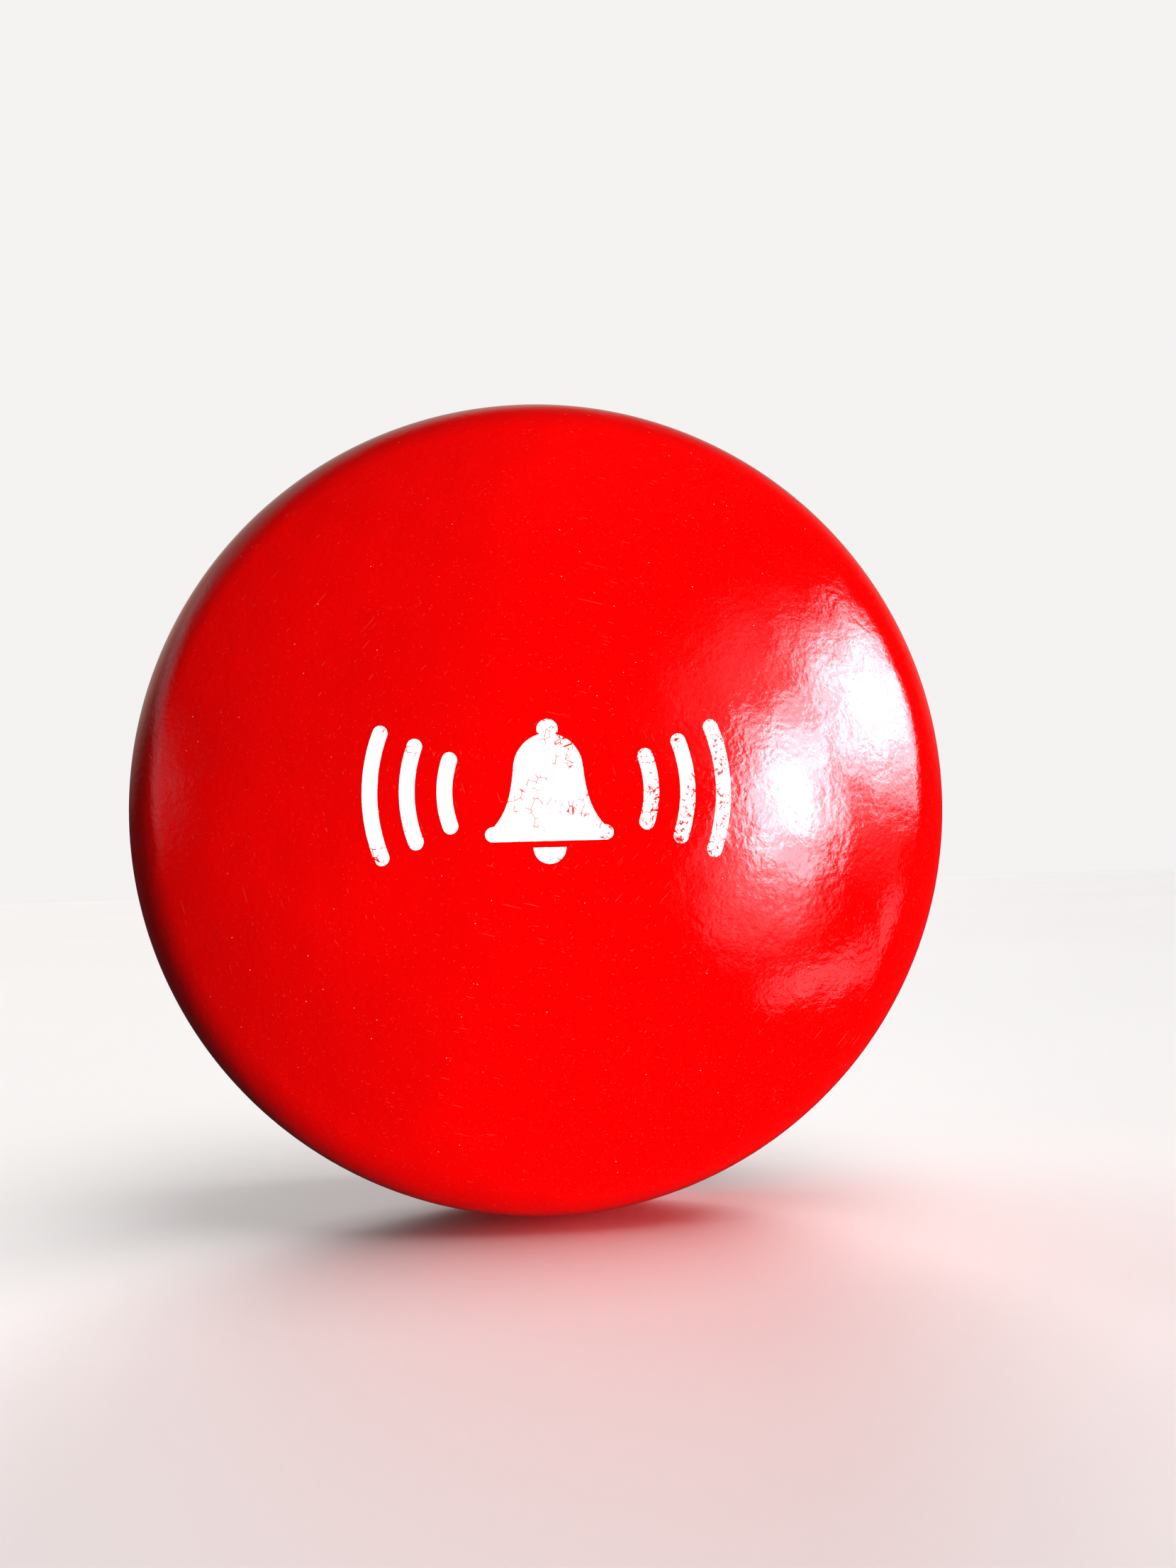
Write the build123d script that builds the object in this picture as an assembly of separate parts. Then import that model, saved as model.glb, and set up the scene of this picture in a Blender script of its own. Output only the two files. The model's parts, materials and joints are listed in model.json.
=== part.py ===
from build123d import *
import math
import os

# A wall-mounted, motor-driven fire alarm bell with a 150 mm gong.
#
# The bell is drawn about its own axis: +Z runs from the wall to the front of the gong, +Y is up the
# wall, and +X is to the right for someone facing the bell. place() turns each finished piece so that
# the exported frame has +Z up, the gong facing -Y and the wall at Y = 0. All sizes are millimetres.

# --- driving dimensions ---------------------------------------------------------------------------

# Gong: a shallow dome that turns through a rounded shoulder into a slightly flared skirt.
GONG_RADIUS = 75.0
GONG_WALL = 1.6
GONG_RIM_Z = 25.0
SKIRT_LENGTH = 15.0
SKIRT_FLARE = math.radians(4.0)
SHOULDER_RADIUS = 17.0
DOME_EDGE_SLOPE = math.radians(27.0)
RIM_ROUND = 0.5

# Gong fixing: boss welded inside the dome, rubber isolator, sleeve through the post, bolt from behind.
BOSS_RADIUS = 9.0
BOSS_LENGTH = 8.0
ISOLATOR_THICKNESS = 2.0
BOLT_RADIUS = 3.0
BOLT_LENGTH = 55.0
BOLT_HEAD_ACROSS_FLATS = 10.0
BOLT_HEAD_HEIGHT = 4.0
FLAT_WASHER = (7.0, 3.2, 1.2)  # outer radius, inner radius, thickness
SPRING_WASHER = (5.4, 3.1, 1.5)
SLEEVE_RADIUS = 4.5

# Base housing: a drafted round tray, open towards the wall.
HOUSING_REAR_Z = 0.5
HOUSING_FRONT_Z = 32.0
HOUSING_REAR_RADIUS = 59.0
HOUSING_FRONT_RADIUS = 57.5
HOUSING_WALL = 2.5
HOUSING_EDGE_ROUND = 4.0
FLANGE_HEIGHT = 2.5
FLANGE_OVERHANG = 1.5
POST_RADIUS = 8.0
TOWER_RADIUS = 9.0
TOWER_REAR_Z = 14.0
RIB_THICKNESS = 1.6
RIB_REAR_Z = 19.0
RIB_ANGLES = (-90, -35, 0, 45, 90, 135, 180, 215)
KNOCKOUT_RADIUS = 10.0
KNOCKOUT_Z = 14.0
KNOCKOUT_GROOVE = 0.8
DRAIN_RADIUS = 1.5

# Mounting plate: fixed to the wall, with two hook tabs above and two screw tabs below.
PLATE_RADIUS = 56.0
PLATE_THICKNESS = 1.5
TAB_INNER_RADIUS = 53.6
TAB_WIDTH = 12.0
HOOK_TAB_ANGLES = (60, 120)
HOOK_TAB_HEIGHT = 8.0
HOOK_REACH = 2.2
HOOK_WINDOW_HEIGHT = 3.6
SCREW_TAB_ANGLES = (-50, -130)
SCREW_TAB_HEIGHT = 10.0
LOCK_SCREW_Z = 6.0
LOCK_SCREW_RADIUS = 2.0
LOCK_HEAD_RADIUS = 4.0
LOCK_HEAD_HEIGHT = 2.4
LOCK_SEAT_RADIUS = 57.9
SLOT_SPACING = 55.5  # covers fixing centres from 46 to 65 mm
SLOT_LENGTH = 14.0
SLOT_WIDTH = 4.5
CORNER_SPACING = (76.0, 60.0)
CORNER_HOLE_RADIUS = 2.25

# Cable entry: a rubber bush in the plate, above the bell's axis.
ENTRY_Y = 17.0
ENTRY_HOLE_RADIUS = 10.0
ENTRY_BORE_RADIUS = 7.0
ENTRY_FLANGE_RADIUS = 12.5
ENTRY_FLANGE_THICKNESS = 2.0

# Motor: a round-can motor below the axis, its face against the front wall of the housing.
MOTOR_Y = -41.0
MOTOR_RADIUS = 12.2
MOTOR_CAN_WALL = 0.9
MOTOR_REAR_Z = 6.5
MOTOR_FRONT_Z = 28.5
MOTOR_BOSS_RADIUS = 3.05
MOTOR_BOSS_LENGTH = 1.7
MOTOR_SCREW_OFFSET = 8.5
MOTOR_SCREW_RADIUS = 1.0
MOTOR_POCKET_GAP = 0.4
MOTOR_POCKET_WALL = 1.6
MOTOR_POCKET_REAR_Z = 12.0
MOTOR_WEB_HALF_WIDTH = 7.0
SHAFT_RADIUS = 1.0
SHAFT_REAR_Z = 6.2
SHAFT_FRONT_Z = 43.0
SHAFT_CLEARANCE = 0.02
BUSH_RADIUS = 2.5
BUSH_LENGTH = 3.0
END_CAP_Z = (7.2, 9.7)
MAGNET_Z = (12.0, 26.0)
MAGNET_INNER_RADIUS = 8.7
MAGNET_ARC = 140.0
CORE_Z = (14.0, 25.0)
CORE_RADIUS = 8.2
POLE_COUNT = 3
POLE_ARC = 100.0
POLE_SHOE = 1.5
POLE_WEB = 2.6
CORE_HUB_RADIUS = 3.0
COIL_WIDTH = 6.0
COIL_OVERHANG = 1.3
COMMUTATOR_RADIUS = 2.6
COMMUTATOR_Z = (10.0, 12.3)
TERMINAL_OFFSET = 7.5
BRUSH_THICKNESS = 0.3
BRUSH_HEIGHT = 1.6

# Striker: a two-armed carrier on the motor shaft with a free-swinging hammer at each end.
CARRIER_Z = (33.5, 36.5)
CARRIER_ARM_RADIUS = 17.0
CARRIER_ARM_HALF_WIDTH = 5.0
CARRIER_HUB_RADIUS = 7.0
CARRIER_HUB_FRONT_Z = 42.0
HAMMER_Z = (36.9, 41.4)
HAMMER_EYE_RADIUS = 4.0
HAMMER_HEAD_RADIUS = 5.5
HAMMER_HEAD_ROUND = 1.2
HAMMER_WALL_GAP = 0.25  # between a hammer at full reach and the gong
PIN_RADIUS = 1.5
PIN_FRONT_Z = 42.9
PIN_BORE_CLEARANCE = 0.06
PIN_WASHER = (3.2, 1.6, 0.3)
CLIP_GROOVE_RADIUS = 1.1
CLIP_Z = (41.7, 42.1)
CLIP_RADIUS = 3.0

# Circuit board with the supply terminals, above the axis and facing the wall.
BOARD_Y = 37.0
BOARD_SIZE = (44.0, 20.0, 1.6)
BOARD_REAR_Z = 14.4
BOARD_SCREW_XY = (18.0, 42.5)
BOARD_SCREW_RADIUS = 1.25
BOARD_BOSS_RADIUS = 3.2
BOARD_PILOT_DEPTH = 9.0
TERMINAL_WAYS = 4
TERMINAL_PITCH = 5.08
TERMINAL_BLOCK_DEPTH = 10.0
TERMINAL_BLOCK_HEIGHT = 10.0
TERMINAL_BLOCK_LOW_Y = 27.6
TERMINAL_WELL_RADIUS = 1.9
TERMINAL_ENTRY = (3.8, 4.4)
CAPACITOR_SIZE = (7.5, 4.0, 7.0)
CAPACITOR_XY = (-8.0, 42.5)
DIODE_RADIUS = 1.35
DIODE_LENGTH = 5.2
DIODE_XY = (6.0, 42.5)
DIODE_LEAD_RADIUS = 0.4
DIODE_LEAD_SPAN = 10.0
LEAD_RADIUS = 0.8
LEAD_PAD_X = 16.0

# Clearance between pieces that are pressed or dropped into one another and then stay put.
FIT_GAP = 0.03
LOOSE_GAP = 0.3

# --- sizes worked out from the above --------------------------------------------------------------

skirt_top_radius = GONG_RADIUS - SKIRT_LENGTH * math.tan(SKIRT_FLARE)
shoulder_x = skirt_top_radius - SHOULDER_RADIUS * math.cos(SKIRT_FLARE)
shoulder_z = GONG_RIM_Z + SKIRT_LENGTH - SHOULDER_RADIUS * math.sin(SKIRT_FLARE)
dome_edge_x = shoulder_x + SHOULDER_RADIUS * math.sin(DOME_EDGE_SLOPE)
dome_edge_z = shoulder_z + SHOULDER_RADIUS * math.cos(DOME_EDGE_SLOPE)
dome_radius = dome_edge_x / math.sin(DOME_EDGE_SLOPE)
dome_z = dome_edge_z - dome_radius * math.cos(DOME_EDGE_SLOPE)
dome_inner_radius = dome_radius - GONG_WALL

boss_front_z = dome_z + math.sqrt(dome_inner_radius**2 - BOSS_RADIUS**2)
boss_rear_z = boss_front_z - BOSS_LENGTH
post_front_z = boss_rear_z - ISOLATOR_THICKNESS
bolt_seat_z = TOWER_REAR_Z - FLAT_WASHER[2] - SPRING_WASHER[2]

front_wall_z = HOUSING_FRONT_Z - HOUSING_WALL
tab_outer_radius = TAB_INNER_RADIUS + PLATE_THICKNESS
board_front_z = BOARD_REAR_Z + BOARD_SIZE[2]
motor_pocket_radius = MOTOR_RADIUS + MOTOR_POCKET_GAP
can_inner_radius = MOTOR_RADIUS - MOTOR_CAN_WALL
motor_boss_z = MOTOR_FRONT_Z + MOTOR_BOSS_LENGTH

gong_wall_at_hammer = shoulder_x + math.sqrt(
    (SHOULDER_RADIUS - GONG_WALL) ** 2 - (HAMMER_Z[1] - shoulder_z) ** 2
)
hammer_reach = gong_wall_at_hammer + MOTOR_Y - HAMMER_WALL_GAP
hammer_length = hammer_reach - CARRIER_ARM_RADIUS - HAMMER_HEAD_RADIUS

FROM_BASE = (Align.CENTER, Align.CENTER, Align.MIN)


# --- shared shapes --------------------------------------------------------------------------------


def disc(radius, low, high, x=0.0, y=0.0):
    """A solid cylinder along the bell's axis direction, from height low to high."""
    return Pos(x, y, low) * Cylinder(radius, high - low, align=FROM_BASE)


def ring(outer, inner, low, high, x=0.0, y=0.0):
    """A tube along the bell's axis direction, from height low to high."""
    return disc(outer, low, high, x, y) - disc(inner, low, high, x, y)


def block(low, high):
    """A box from its lowest corner to its highest one."""
    size = [b - a for a, b in zip(low, high)]
    return Pos(*low) * Box(*size, align=(Align.MIN, Align.MIN, Align.MIN))


def radial(angle, z):
    """A place on the bell's axis at height z whose own +Z points outwards at angle degrees from +X."""
    return Pos(0, 0, z) * Rot(0, 0, angle) * Rot(0, 90, 0)


def arc_points(centre, radius, start, end):
    """An arc in the half plane of a turned outline, with angles measured from the bell's axis."""
    points = []
    for angle in (start, (start + end) / 2, end):
        points.append((centre[0] + radius * math.sin(angle), centre[1] + radius * math.cos(angle)))
    return ThreePointArc(*points)


def turned(*edges):
    """The solid made by turning a closed outline, drawn as (radius, height), about the bell's axis."""
    return revolve(make_face(Plane.XZ * Curve(list(edges))), Axis.Z)


def board_screw_xy(side):
    """Where the board's screw on the given side, -1 or 1, stands."""
    return side * BOARD_SCREW_XY[0], BOARD_SCREW_XY[1]


def place(shape):
    """Turns a finished piece from the drawing frame into the exported one."""
    return Rot(90, 0, 0) * shape


# --- gong and its fixing --------------------------------------------------------------------------


def gong():
    """The pressed steel gong, with its cut rim lightly rounded."""
    inner_shoulder = SHOULDER_RADIUS - GONG_WALL
    skirt_angle = math.pi / 2 - SKIRT_FLARE
    outer_rim = (GONG_RADIUS, GONG_RIM_Z)
    inner_rim = (GONG_RADIUS - GONG_WALL / math.cos(SKIRT_FLARE), GONG_RIM_Z)
    outer_dome = arc_points((0, dome_z), dome_radius, 0, DOME_EDGE_SLOPE)
    outer_turn = arc_points((shoulder_x, shoulder_z), SHOULDER_RADIUS, DOME_EDGE_SLOPE, skirt_angle)
    inner_turn = arc_points((shoulder_x, shoulder_z), inner_shoulder, skirt_angle, DOME_EDGE_SLOPE)
    inner_dome = arc_points((0, dome_z), dome_inner_radius, DOME_EDGE_SLOPE, 0)
    shell = turned(
        outer_dome,
        outer_turn,
        Line(outer_turn @ 1, outer_rim),
        Line(outer_rim, inner_rim),
        Line(inner_rim, inner_turn @ 0),
        inner_turn,
        inner_dome,
        Line(inner_dome @ 1, outer_dome @ 0),
    )
    rim = shell.edges().group_by(Axis.Z)[0]
    return fillet(rim, RIM_ROUND)


def gong_boss():
    """The tapped boss welded inside the dome, on the axis."""
    body = disc(BOSS_RADIUS, boss_rear_z, boss_front_z)
    tapped_depth = BOSS_LENGTH - 0.8
    return body - disc(BOLT_RADIUS + FIT_GAP, boss_rear_z, boss_rear_z + tapped_depth)


def gong_isolator():
    """The rubber washer that lets the gong ring on its post."""
    body = ring(BOSS_RADIUS - 0.5, BOLT_RADIUS + 0.2, post_front_z, boss_rear_z)
    outer_edges = body.edges().filter_by(GeomType.CIRCLE).sort_by(SortBy.RADIUS)[-2:]
    return fillet(outer_edges, 0.6)


def centre_sleeve():
    """The steel tube that takes the bolt's clamping load through the plastic post."""
    return ring(SLEEVE_RADIUS, BOLT_RADIUS + 0.2, TOWER_REAR_Z, post_front_z)


def gong_bolt():
    """The hexagon bolt that holds the gong from behind."""
    corner_radius = BOLT_HEAD_ACROSS_FLATS / 2 / math.cos(math.pi / 6)
    rear_z = bolt_seat_z - BOLT_HEAD_HEIGHT
    hexagon = Pos(0, 0, rear_z) * extrude(RegularPolygon(corner_radius, 6), BOLT_HEAD_HEIGHT)
    crown_radius = corner_radius - 0.7
    crown_slope = 2.0
    crown_top = crown_radius + crown_slope * BOLT_HEAD_HEIGHT
    crown = Pos(0, 0, rear_z) * Cone(crown_radius, crown_top, BOLT_HEAD_HEIGHT, align=FROM_BASE)
    shank = disc(BOLT_RADIUS, bolt_seat_z, bolt_seat_z + BOLT_LENGTH)
    return (hexagon & crown) + chamfer(shank.edges().group_by(Axis.Z)[-1], 0.6)


def gong_flat_washer():
    outer, inner, thickness = FLAT_WASHER
    return ring(outer, inner, TOWER_REAR_Z - thickness, TOWER_REAR_Z)


def gong_spring_washer():
    """A split washer, with its cut upwards."""
    outer, inner, thickness = SPRING_WASHER
    body = ring(outer, inner, bolt_seat_z, bolt_seat_z + thickness)
    split = Pos(0, outer, bolt_seat_z + thickness / 2) * Rot(0, 25, 0) * Box(0.8, 2 * outer, 2 * thickness)
    return body - split


# --- base housing and mounting plate --------------------------------------------------------------


def housing_shell():
    """The drafted tray with its rear flange, hollow towards the wall."""
    height = HOUSING_FRONT_Z - HOUSING_REAR_Z
    outside = Cone(HOUSING_REAR_RADIUS, HOUSING_FRONT_RADIUS, height, align=FROM_BASE)
    outside = fillet(outside.edges().group_by(Axis.Z)[-1], HOUSING_EDGE_ROUND)
    flange = disc(HOUSING_REAR_RADIUS + FLANGE_OVERHANG, 0, FLANGE_HEIGHT)
    flange = fillet(flange.edges().group_by(Axis.Z)[-1], 1.0)
    inside = Cone(
        HOUSING_REAR_RADIUS - HOUSING_WALL,
        HOUSING_FRONT_RADIUS - HOUSING_WALL,
        height - HOUSING_WALL,
        align=FROM_BASE,
    )
    inside = fillet(inside.edges().group_by(Axis.Z)[-1], HOUSING_EDGE_ROUND - HOUSING_WALL)
    return Pos(0, 0, HOUSING_REAR_Z) * (outside + flange - inside)


def housing_inner_radius(z):
    """The inside radius of the drafted side wall at height z."""
    share = (z - HOUSING_REAR_Z) / (HOUSING_FRONT_Z - HOUSING_REAR_Z)
    outer = HOUSING_REAR_RADIUS + share * (HOUSING_FRONT_RADIUS - HOUSING_REAR_RADIUS)
    return outer - HOUSING_WALL


def housing_post():
    """The front post that carries the gong, and the tower behind it that the bolt bears on."""
    post = disc(POST_RADIUS, front_wall_z, post_front_z)
    foot = Pos(0, 0, HOUSING_FRONT_Z) * Cone(POST_RADIUS + 1.5, POST_RADIUS, 2.0, align=FROM_BASE)
    tower = disc(TOWER_RADIUS, TOWER_REAR_Z, front_wall_z)
    return post + foot + tower


def housing_ribs():
    """Radial stiffening ribs behind the front wall."""
    reach = housing_inner_radius(HOUSING_FRONT_Z) + 0.8
    low = (TOWER_RADIUS - 1, -RIB_THICKNESS / 2, RIB_REAR_Z)
    high = (reach, RIB_THICKNESS / 2, front_wall_z + 0.5)
    return [Rot(0, 0, angle) * block(low, high) for angle in RIB_ANGLES]


def housing_motor_pocket():
    """The socket that steadies the motor can, with the web that joins it to the side wall."""
    socket = disc(motor_pocket_radius + MOTOR_POCKET_WALL, MOTOR_POCKET_REAR_Z, front_wall_z, 0, MOTOR_Y)
    web_reach = HOUSING_REAR_RADIUS - HOUSING_WALL - 0.1
    web_low = (-MOTOR_WEB_HALF_WIDTH, -web_reach, MOTOR_POCKET_REAR_Z)
    web_high = (MOTOR_WEB_HALF_WIDTH, MOTOR_Y, front_wall_z + 0.5)
    return socket + block(web_low, web_high)


def housing_cuts():
    """Everything that is cut out of the housing once its solid features are joined."""
    cuts = [disc(SLEEVE_RADIUS + FIT_GAP, TOWER_REAR_Z, post_front_z)]
    cuts.append(disc(motor_pocket_radius, MOTOR_POCKET_REAR_Z, front_wall_z, 0, MOTOR_Y))
    cuts.append(disc(MOTOR_BOSS_RADIUS + 0.15, front_wall_z, HOUSING_FRONT_Z, 0, MOTOR_Y))
    pilot_front_z = board_front_z + BOARD_PILOT_DEPTH
    for side in (-1, 1):
        x = side * MOTOR_SCREW_OFFSET
        cuts.append(disc(MOTOR_SCREW_RADIUS + 0.15, front_wall_z, HOUSING_FRONT_Z, x, MOTOR_Y))
        cuts.append(motor_screw_head(x, FIT_GAP))
        cuts.append(disc(BOARD_SCREW_RADIUS - 0.15, board_front_z, pilot_front_z, *board_screw_xy(side)))
    for angle in HOOK_TAB_ANGLES:
        window = Box(HOOK_WINDOW_HEIGHT, TAB_WIDTH + 2, 12)
        cuts.append(radial(angle, HOOK_TAB_HEIGHT - 0.6) * Pos(0, 0, HOUSING_REAR_RADIUS) * window)
    for angle in SCREW_TAB_ANGLES:
        cuts.append(radial(angle, LOCK_SCREW_Z) * disc(LOCK_SCREW_RADIUS + 0.25, 50, 70))
        cuts.append(radial(angle, LOCK_SCREW_Z) * disc(LOCK_HEAD_RADIUS + 0.5, LOCK_SEAT_RADIUS, 70))
    groove = ring(KNOCKOUT_RADIUS + KNOCKOUT_GROOVE, KNOCKOUT_RADIUS, HOUSING_REAR_RADIUS - 2.0, 70)
    cuts.append(radial(90, KNOCKOUT_Z) * groove)
    cuts.append(radial(-90, HOUSING_REAR_Z + FLANGE_HEIGHT + 2.5) * disc(DRAIN_RADIUS, 50, 70))
    return cuts


def base_housing():
    """The moulded housing that carries the motor, the circuit board and the gong."""
    body = housing_shell() + housing_ribs()
    body += housing_motor_pocket()
    body += housing_post()
    for side in (-1, 1):
        body += disc(BOARD_BOSS_RADIUS, board_front_z, front_wall_z + 0.5, *board_screw_xy(side))
    return body - housing_cuts()


def plate_tab(angle, height):
    """One tab bent forwards from the plate's edge."""
    low = (TAB_INNER_RADIUS, -TAB_WIDTH / 2, 0)
    high = (tab_outer_radius, TAB_WIDTH / 2, height)
    return Rot(0, 0, angle) * block(low, high)


def mounting_plate():
    """The zinc-plated steel plate that is screwed to the wall, with the tabs that hold the housing."""
    plate = disc(PLATE_RADIUS, 0, PLATE_THICKNESS)
    hook_low = (tab_outer_radius - 0.5, -TAB_WIDTH / 2, HOOK_TAB_HEIGHT - PLATE_THICKNESS)
    hook_high = (tab_outer_radius + HOOK_REACH, TAB_WIDTH / 2, HOOK_TAB_HEIGHT)
    for angle in HOOK_TAB_ANGLES:
        plate += plate_tab(angle, HOOK_TAB_HEIGHT) + Rot(0, 0, angle) * block(hook_low, hook_high)
    for angle in SCREW_TAB_ANGLES:
        tapped = radial(angle, LOCK_SCREW_Z) * disc(LOCK_SCREW_RADIUS + FIT_GAP, 50, 60)
        plate += plate_tab(angle, SCREW_TAB_HEIGHT) - tapped
    slot = extrude(SlotOverall(SLOT_LENGTH, SLOT_WIDTH), PLATE_THICKNESS)
    plate -= [Pos(side * SLOT_SPACING / 2, 0, 0) * slot for side in (-1, 1)]
    plate -= GridLocations(*CORNER_SPACING, 2, 2) * disc(CORNER_HOLE_RADIUS, 0, PLATE_THICKNESS)
    return plate - disc(ENTRY_HOLE_RADIUS, 0, PLATE_THICKNESS, 0, ENTRY_Y)


def locking_screws():
    """The two pan-head screws that lock the housing to the plate's lower tabs."""
    screws = []
    for angle in SCREW_TAB_ANGLES:
        head = disc(LOCK_HEAD_RADIUS, LOCK_SEAT_RADIUS, LOCK_SEAT_RADIUS + LOCK_HEAD_HEIGHT)
        head = fillet(head.edges().group_by(Axis.Z)[-1], 1.3)
        recess = Pos(0, 0, LOCK_SEAT_RADIUS + LOCK_HEAD_HEIGHT) * (Box(4.2, 0.9, 2.6) + Box(0.9, 4.2, 2.6))
        shank = disc(LOCK_SCREW_RADIUS, TAB_INNER_RADIUS - 2.0, LOCK_SEAT_RADIUS)
        screws.append(radial(angle, LOCK_SCREW_Z) * (head + shank - recess))
    return screws


def cable_grommet():
    """The rubber bush that the supply cable passes through."""
    bush = disc(ENTRY_HOLE_RADIUS - FIT_GAP, 0.1, PLATE_THICKNESS)
    flange = disc(ENTRY_FLANGE_RADIUS, PLATE_THICKNESS, PLATE_THICKNESS + ENTRY_FLANGE_THICKNESS)
    flange = fillet(flange.edges().group_by(Axis.Z)[-1], 0.9)
    bore = disc(ENTRY_BORE_RADIUS, 0, PLATE_THICKNESS + ENTRY_FLANGE_THICKNESS)
    return Pos(0, ENTRY_Y, 0) * (bush + flange - bore)


# --- motor ----------------------------------------------------------------------------------------


def at_motor(shape):
    """Moves a piece drawn about the bell's axis onto the motor's axis."""
    return Pos(0, MOTOR_Y, 0) * shape


def motor_can():
    """The drawn steel can, with the front bearing boss and two tapped holes in its face."""
    face_z = MOTOR_FRONT_Z - MOTOR_CAN_WALL
    can = disc(MOTOR_RADIUS, MOTOR_REAR_Z, MOTOR_FRONT_Z)
    can = fillet(can.edges().group_by(Axis.Z)[-1], 0.9)
    can += disc(MOTOR_BOSS_RADIUS, MOTOR_FRONT_Z, motor_boss_z)
    can -= disc(can_inner_radius, MOTOR_REAR_Z, face_z)
    can -= disc(BUSH_RADIUS + FIT_GAP, face_z, motor_boss_z)
    for side in (-1, 1):
        can -= disc(MOTOR_SCREW_RADIUS + FIT_GAP, face_z, MOTOR_FRONT_Z, side * MOTOR_SCREW_OFFSET)
    return at_motor(can)


def rear_bush_z():
    """The low and high ends of the rear bush."""
    low = SHAFT_REAR_Z - 0.1
    return low, low + BUSH_LENGTH


def motor_end_cap():
    """The nylon plug that closes the can and holds the rear bush, brushes and terminals."""
    low, high = END_CAP_Z
    cap = disc(can_inner_radius - FIT_GAP, low, high) + disc(4.2, SHAFT_REAR_Z - 0.9, low)
    bush_low, _ = rear_bush_z()
    cap -= disc(BUSH_RADIUS + FIT_GAP, bush_low, high)
    for side in (-1, 1):
        slot = Box(0.6, 3.0, 10)
        cap -= Pos(side * TERMINAL_OFFSET, 0, low) * slot
    return at_motor(cap)


def motor_bushes():
    """The two sintered bearings, front and rear."""
    bore = SHAFT_RADIUS + SHAFT_CLEARANCE
    front = ring(BUSH_RADIUS, bore, motor_boss_z - BUSH_LENGTH, motor_boss_z)
    rear = ring(BUSH_RADIUS, bore, *rear_bush_z())
    return [at_motor(front), at_motor(rear)]


def sector(outer, inner, low, high, middle, arc):
    """A piece of ring, arc degrees wide, with its middle in the direction middle."""
    start = math.radians(middle - arc / 2)
    steps = 4
    fan = [(0, 0)]
    for i in range(steps + 1):
        angle = start + math.radians(arc) * i / steps
        fan.append((3 * outer * math.cos(angle), 3 * outer * math.sin(angle)))
    wedge = Pos(0, 0, low) * extrude(make_face(Polyline(*fan, close=True)), high - low)
    return ring(outer, inner, low, high) & wedge


def motor_magnets():
    """The two ferrite arcs that line the can."""
    outer = can_inner_radius - FIT_GAP
    arcs = [sector(outer, MAGNET_INNER_RADIUS, *MAGNET_Z, middle, MAGNET_ARC) for middle in (0, 180)]
    return [at_motor(arc) for arc in arcs]


def motor_shaft():
    shaft = disc(SHAFT_RADIUS, SHAFT_REAR_Z, SHAFT_FRONT_Z)
    return at_motor(chamfer(shaft.edges().group_by(Axis.Z)[-1], 0.25))


def pole_angles():
    """The directions of the armature's poles."""
    return [90 + 360 * i / POLE_COUNT for i in range(POLE_COUNT)]


def motor_armature():
    """The laminated three-pole core."""
    low, high = CORE_Z
    core = disc(CORE_HUB_RADIUS, low, high)
    for angle in pole_angles():
        web = block((0, -POLE_WEB / 2, low), (CORE_RADIUS - POLE_SHOE / 2, POLE_WEB / 2, high))
        core += Rot(0, 0, angle) * web
        core += sector(CORE_RADIUS, CORE_RADIUS - POLE_SHOE, low, high, angle, POLE_ARC)
    return at_motor(core - disc(SHAFT_RADIUS + FIT_GAP, low, high))


def motor_windings():
    """One copper coil round each pole."""
    coils = []
    inner = CORE_HUB_RADIUS + 0.2
    outer = CORE_RADIUS - POLE_SHOE - 0.25
    low = CORE_Z[0] - COIL_OVERHANG
    high = CORE_Z[1] + COIL_OVERHANG
    hole_half = POLE_WEB / 2 + FIT_GAP
    hole_low = (inner - 1, -hole_half, CORE_Z[0] - FIT_GAP)
    hole_high = (outer + 1, hole_half, CORE_Z[1] + FIT_GAP)
    for angle in pole_angles():
        coil = block((inner, -COIL_WIDTH / 2, low), (outer, COIL_WIDTH / 2, high))
        coil = fillet(coil.edges().filter_by(Axis.X), 1.2) - block(hole_low, hole_high)
        coil &= disc(CORE_RADIUS - POLE_SHOE - 0.1, low, high)
        coils.append(at_motor(Rot(0, 0, angle) * coil))
    return coils


def motor_commutator():
    """The copper commutator, with a slot between each pair of segments."""
    low, high = COMMUTATOR_Z
    body = ring(COMMUTATOR_RADIUS, SHAFT_RADIUS + FIT_GAP, low, high)
    for angle in pole_angles():
        slot = block((SHAFT_RADIUS + 0.6, -0.15, low), (COMMUTATOR_RADIUS + 1, 0.15, high))
        body -= Rot(0, 0, angle + 60) * slot
    return at_motor(body)


def motor_brushes():
    """The two leaf brushes that bear on the commutator."""
    low_z = sum(COMMUTATOR_Z) / 2 - BRUSH_HEIGHT / 2
    high_z = low_z + BRUSH_HEIGHT
    near = COMMUTATOR_RADIUS + 0.05
    far = near + BRUSH_THICKNESS
    foot_x = TERMINAL_OFFSET - BRUSH_THICKNESS
    leaf = block((-1.2, near, low_z), (TERMINAL_OFFSET, far, high_z))
    foot = block((foot_x, near - 1.4, END_CAP_Z[1]), (TERMINAL_OFFSET, far, high_z))
    return [at_motor(Rot(0, 0, turn) * (leaf + foot)) for turn in (0, 180)]


def motor_terminals():
    """The two solder tabs that stand out of the end cap."""
    tabs = []
    for side in (-1, 1):
        x = side * TERMINAL_OFFSET
        tabs.append(at_motor(block((x - 0.25, -1.4, 3.2), (x + 0.25, 1.4, END_CAP_Z[1]))))
    return tabs


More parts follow.
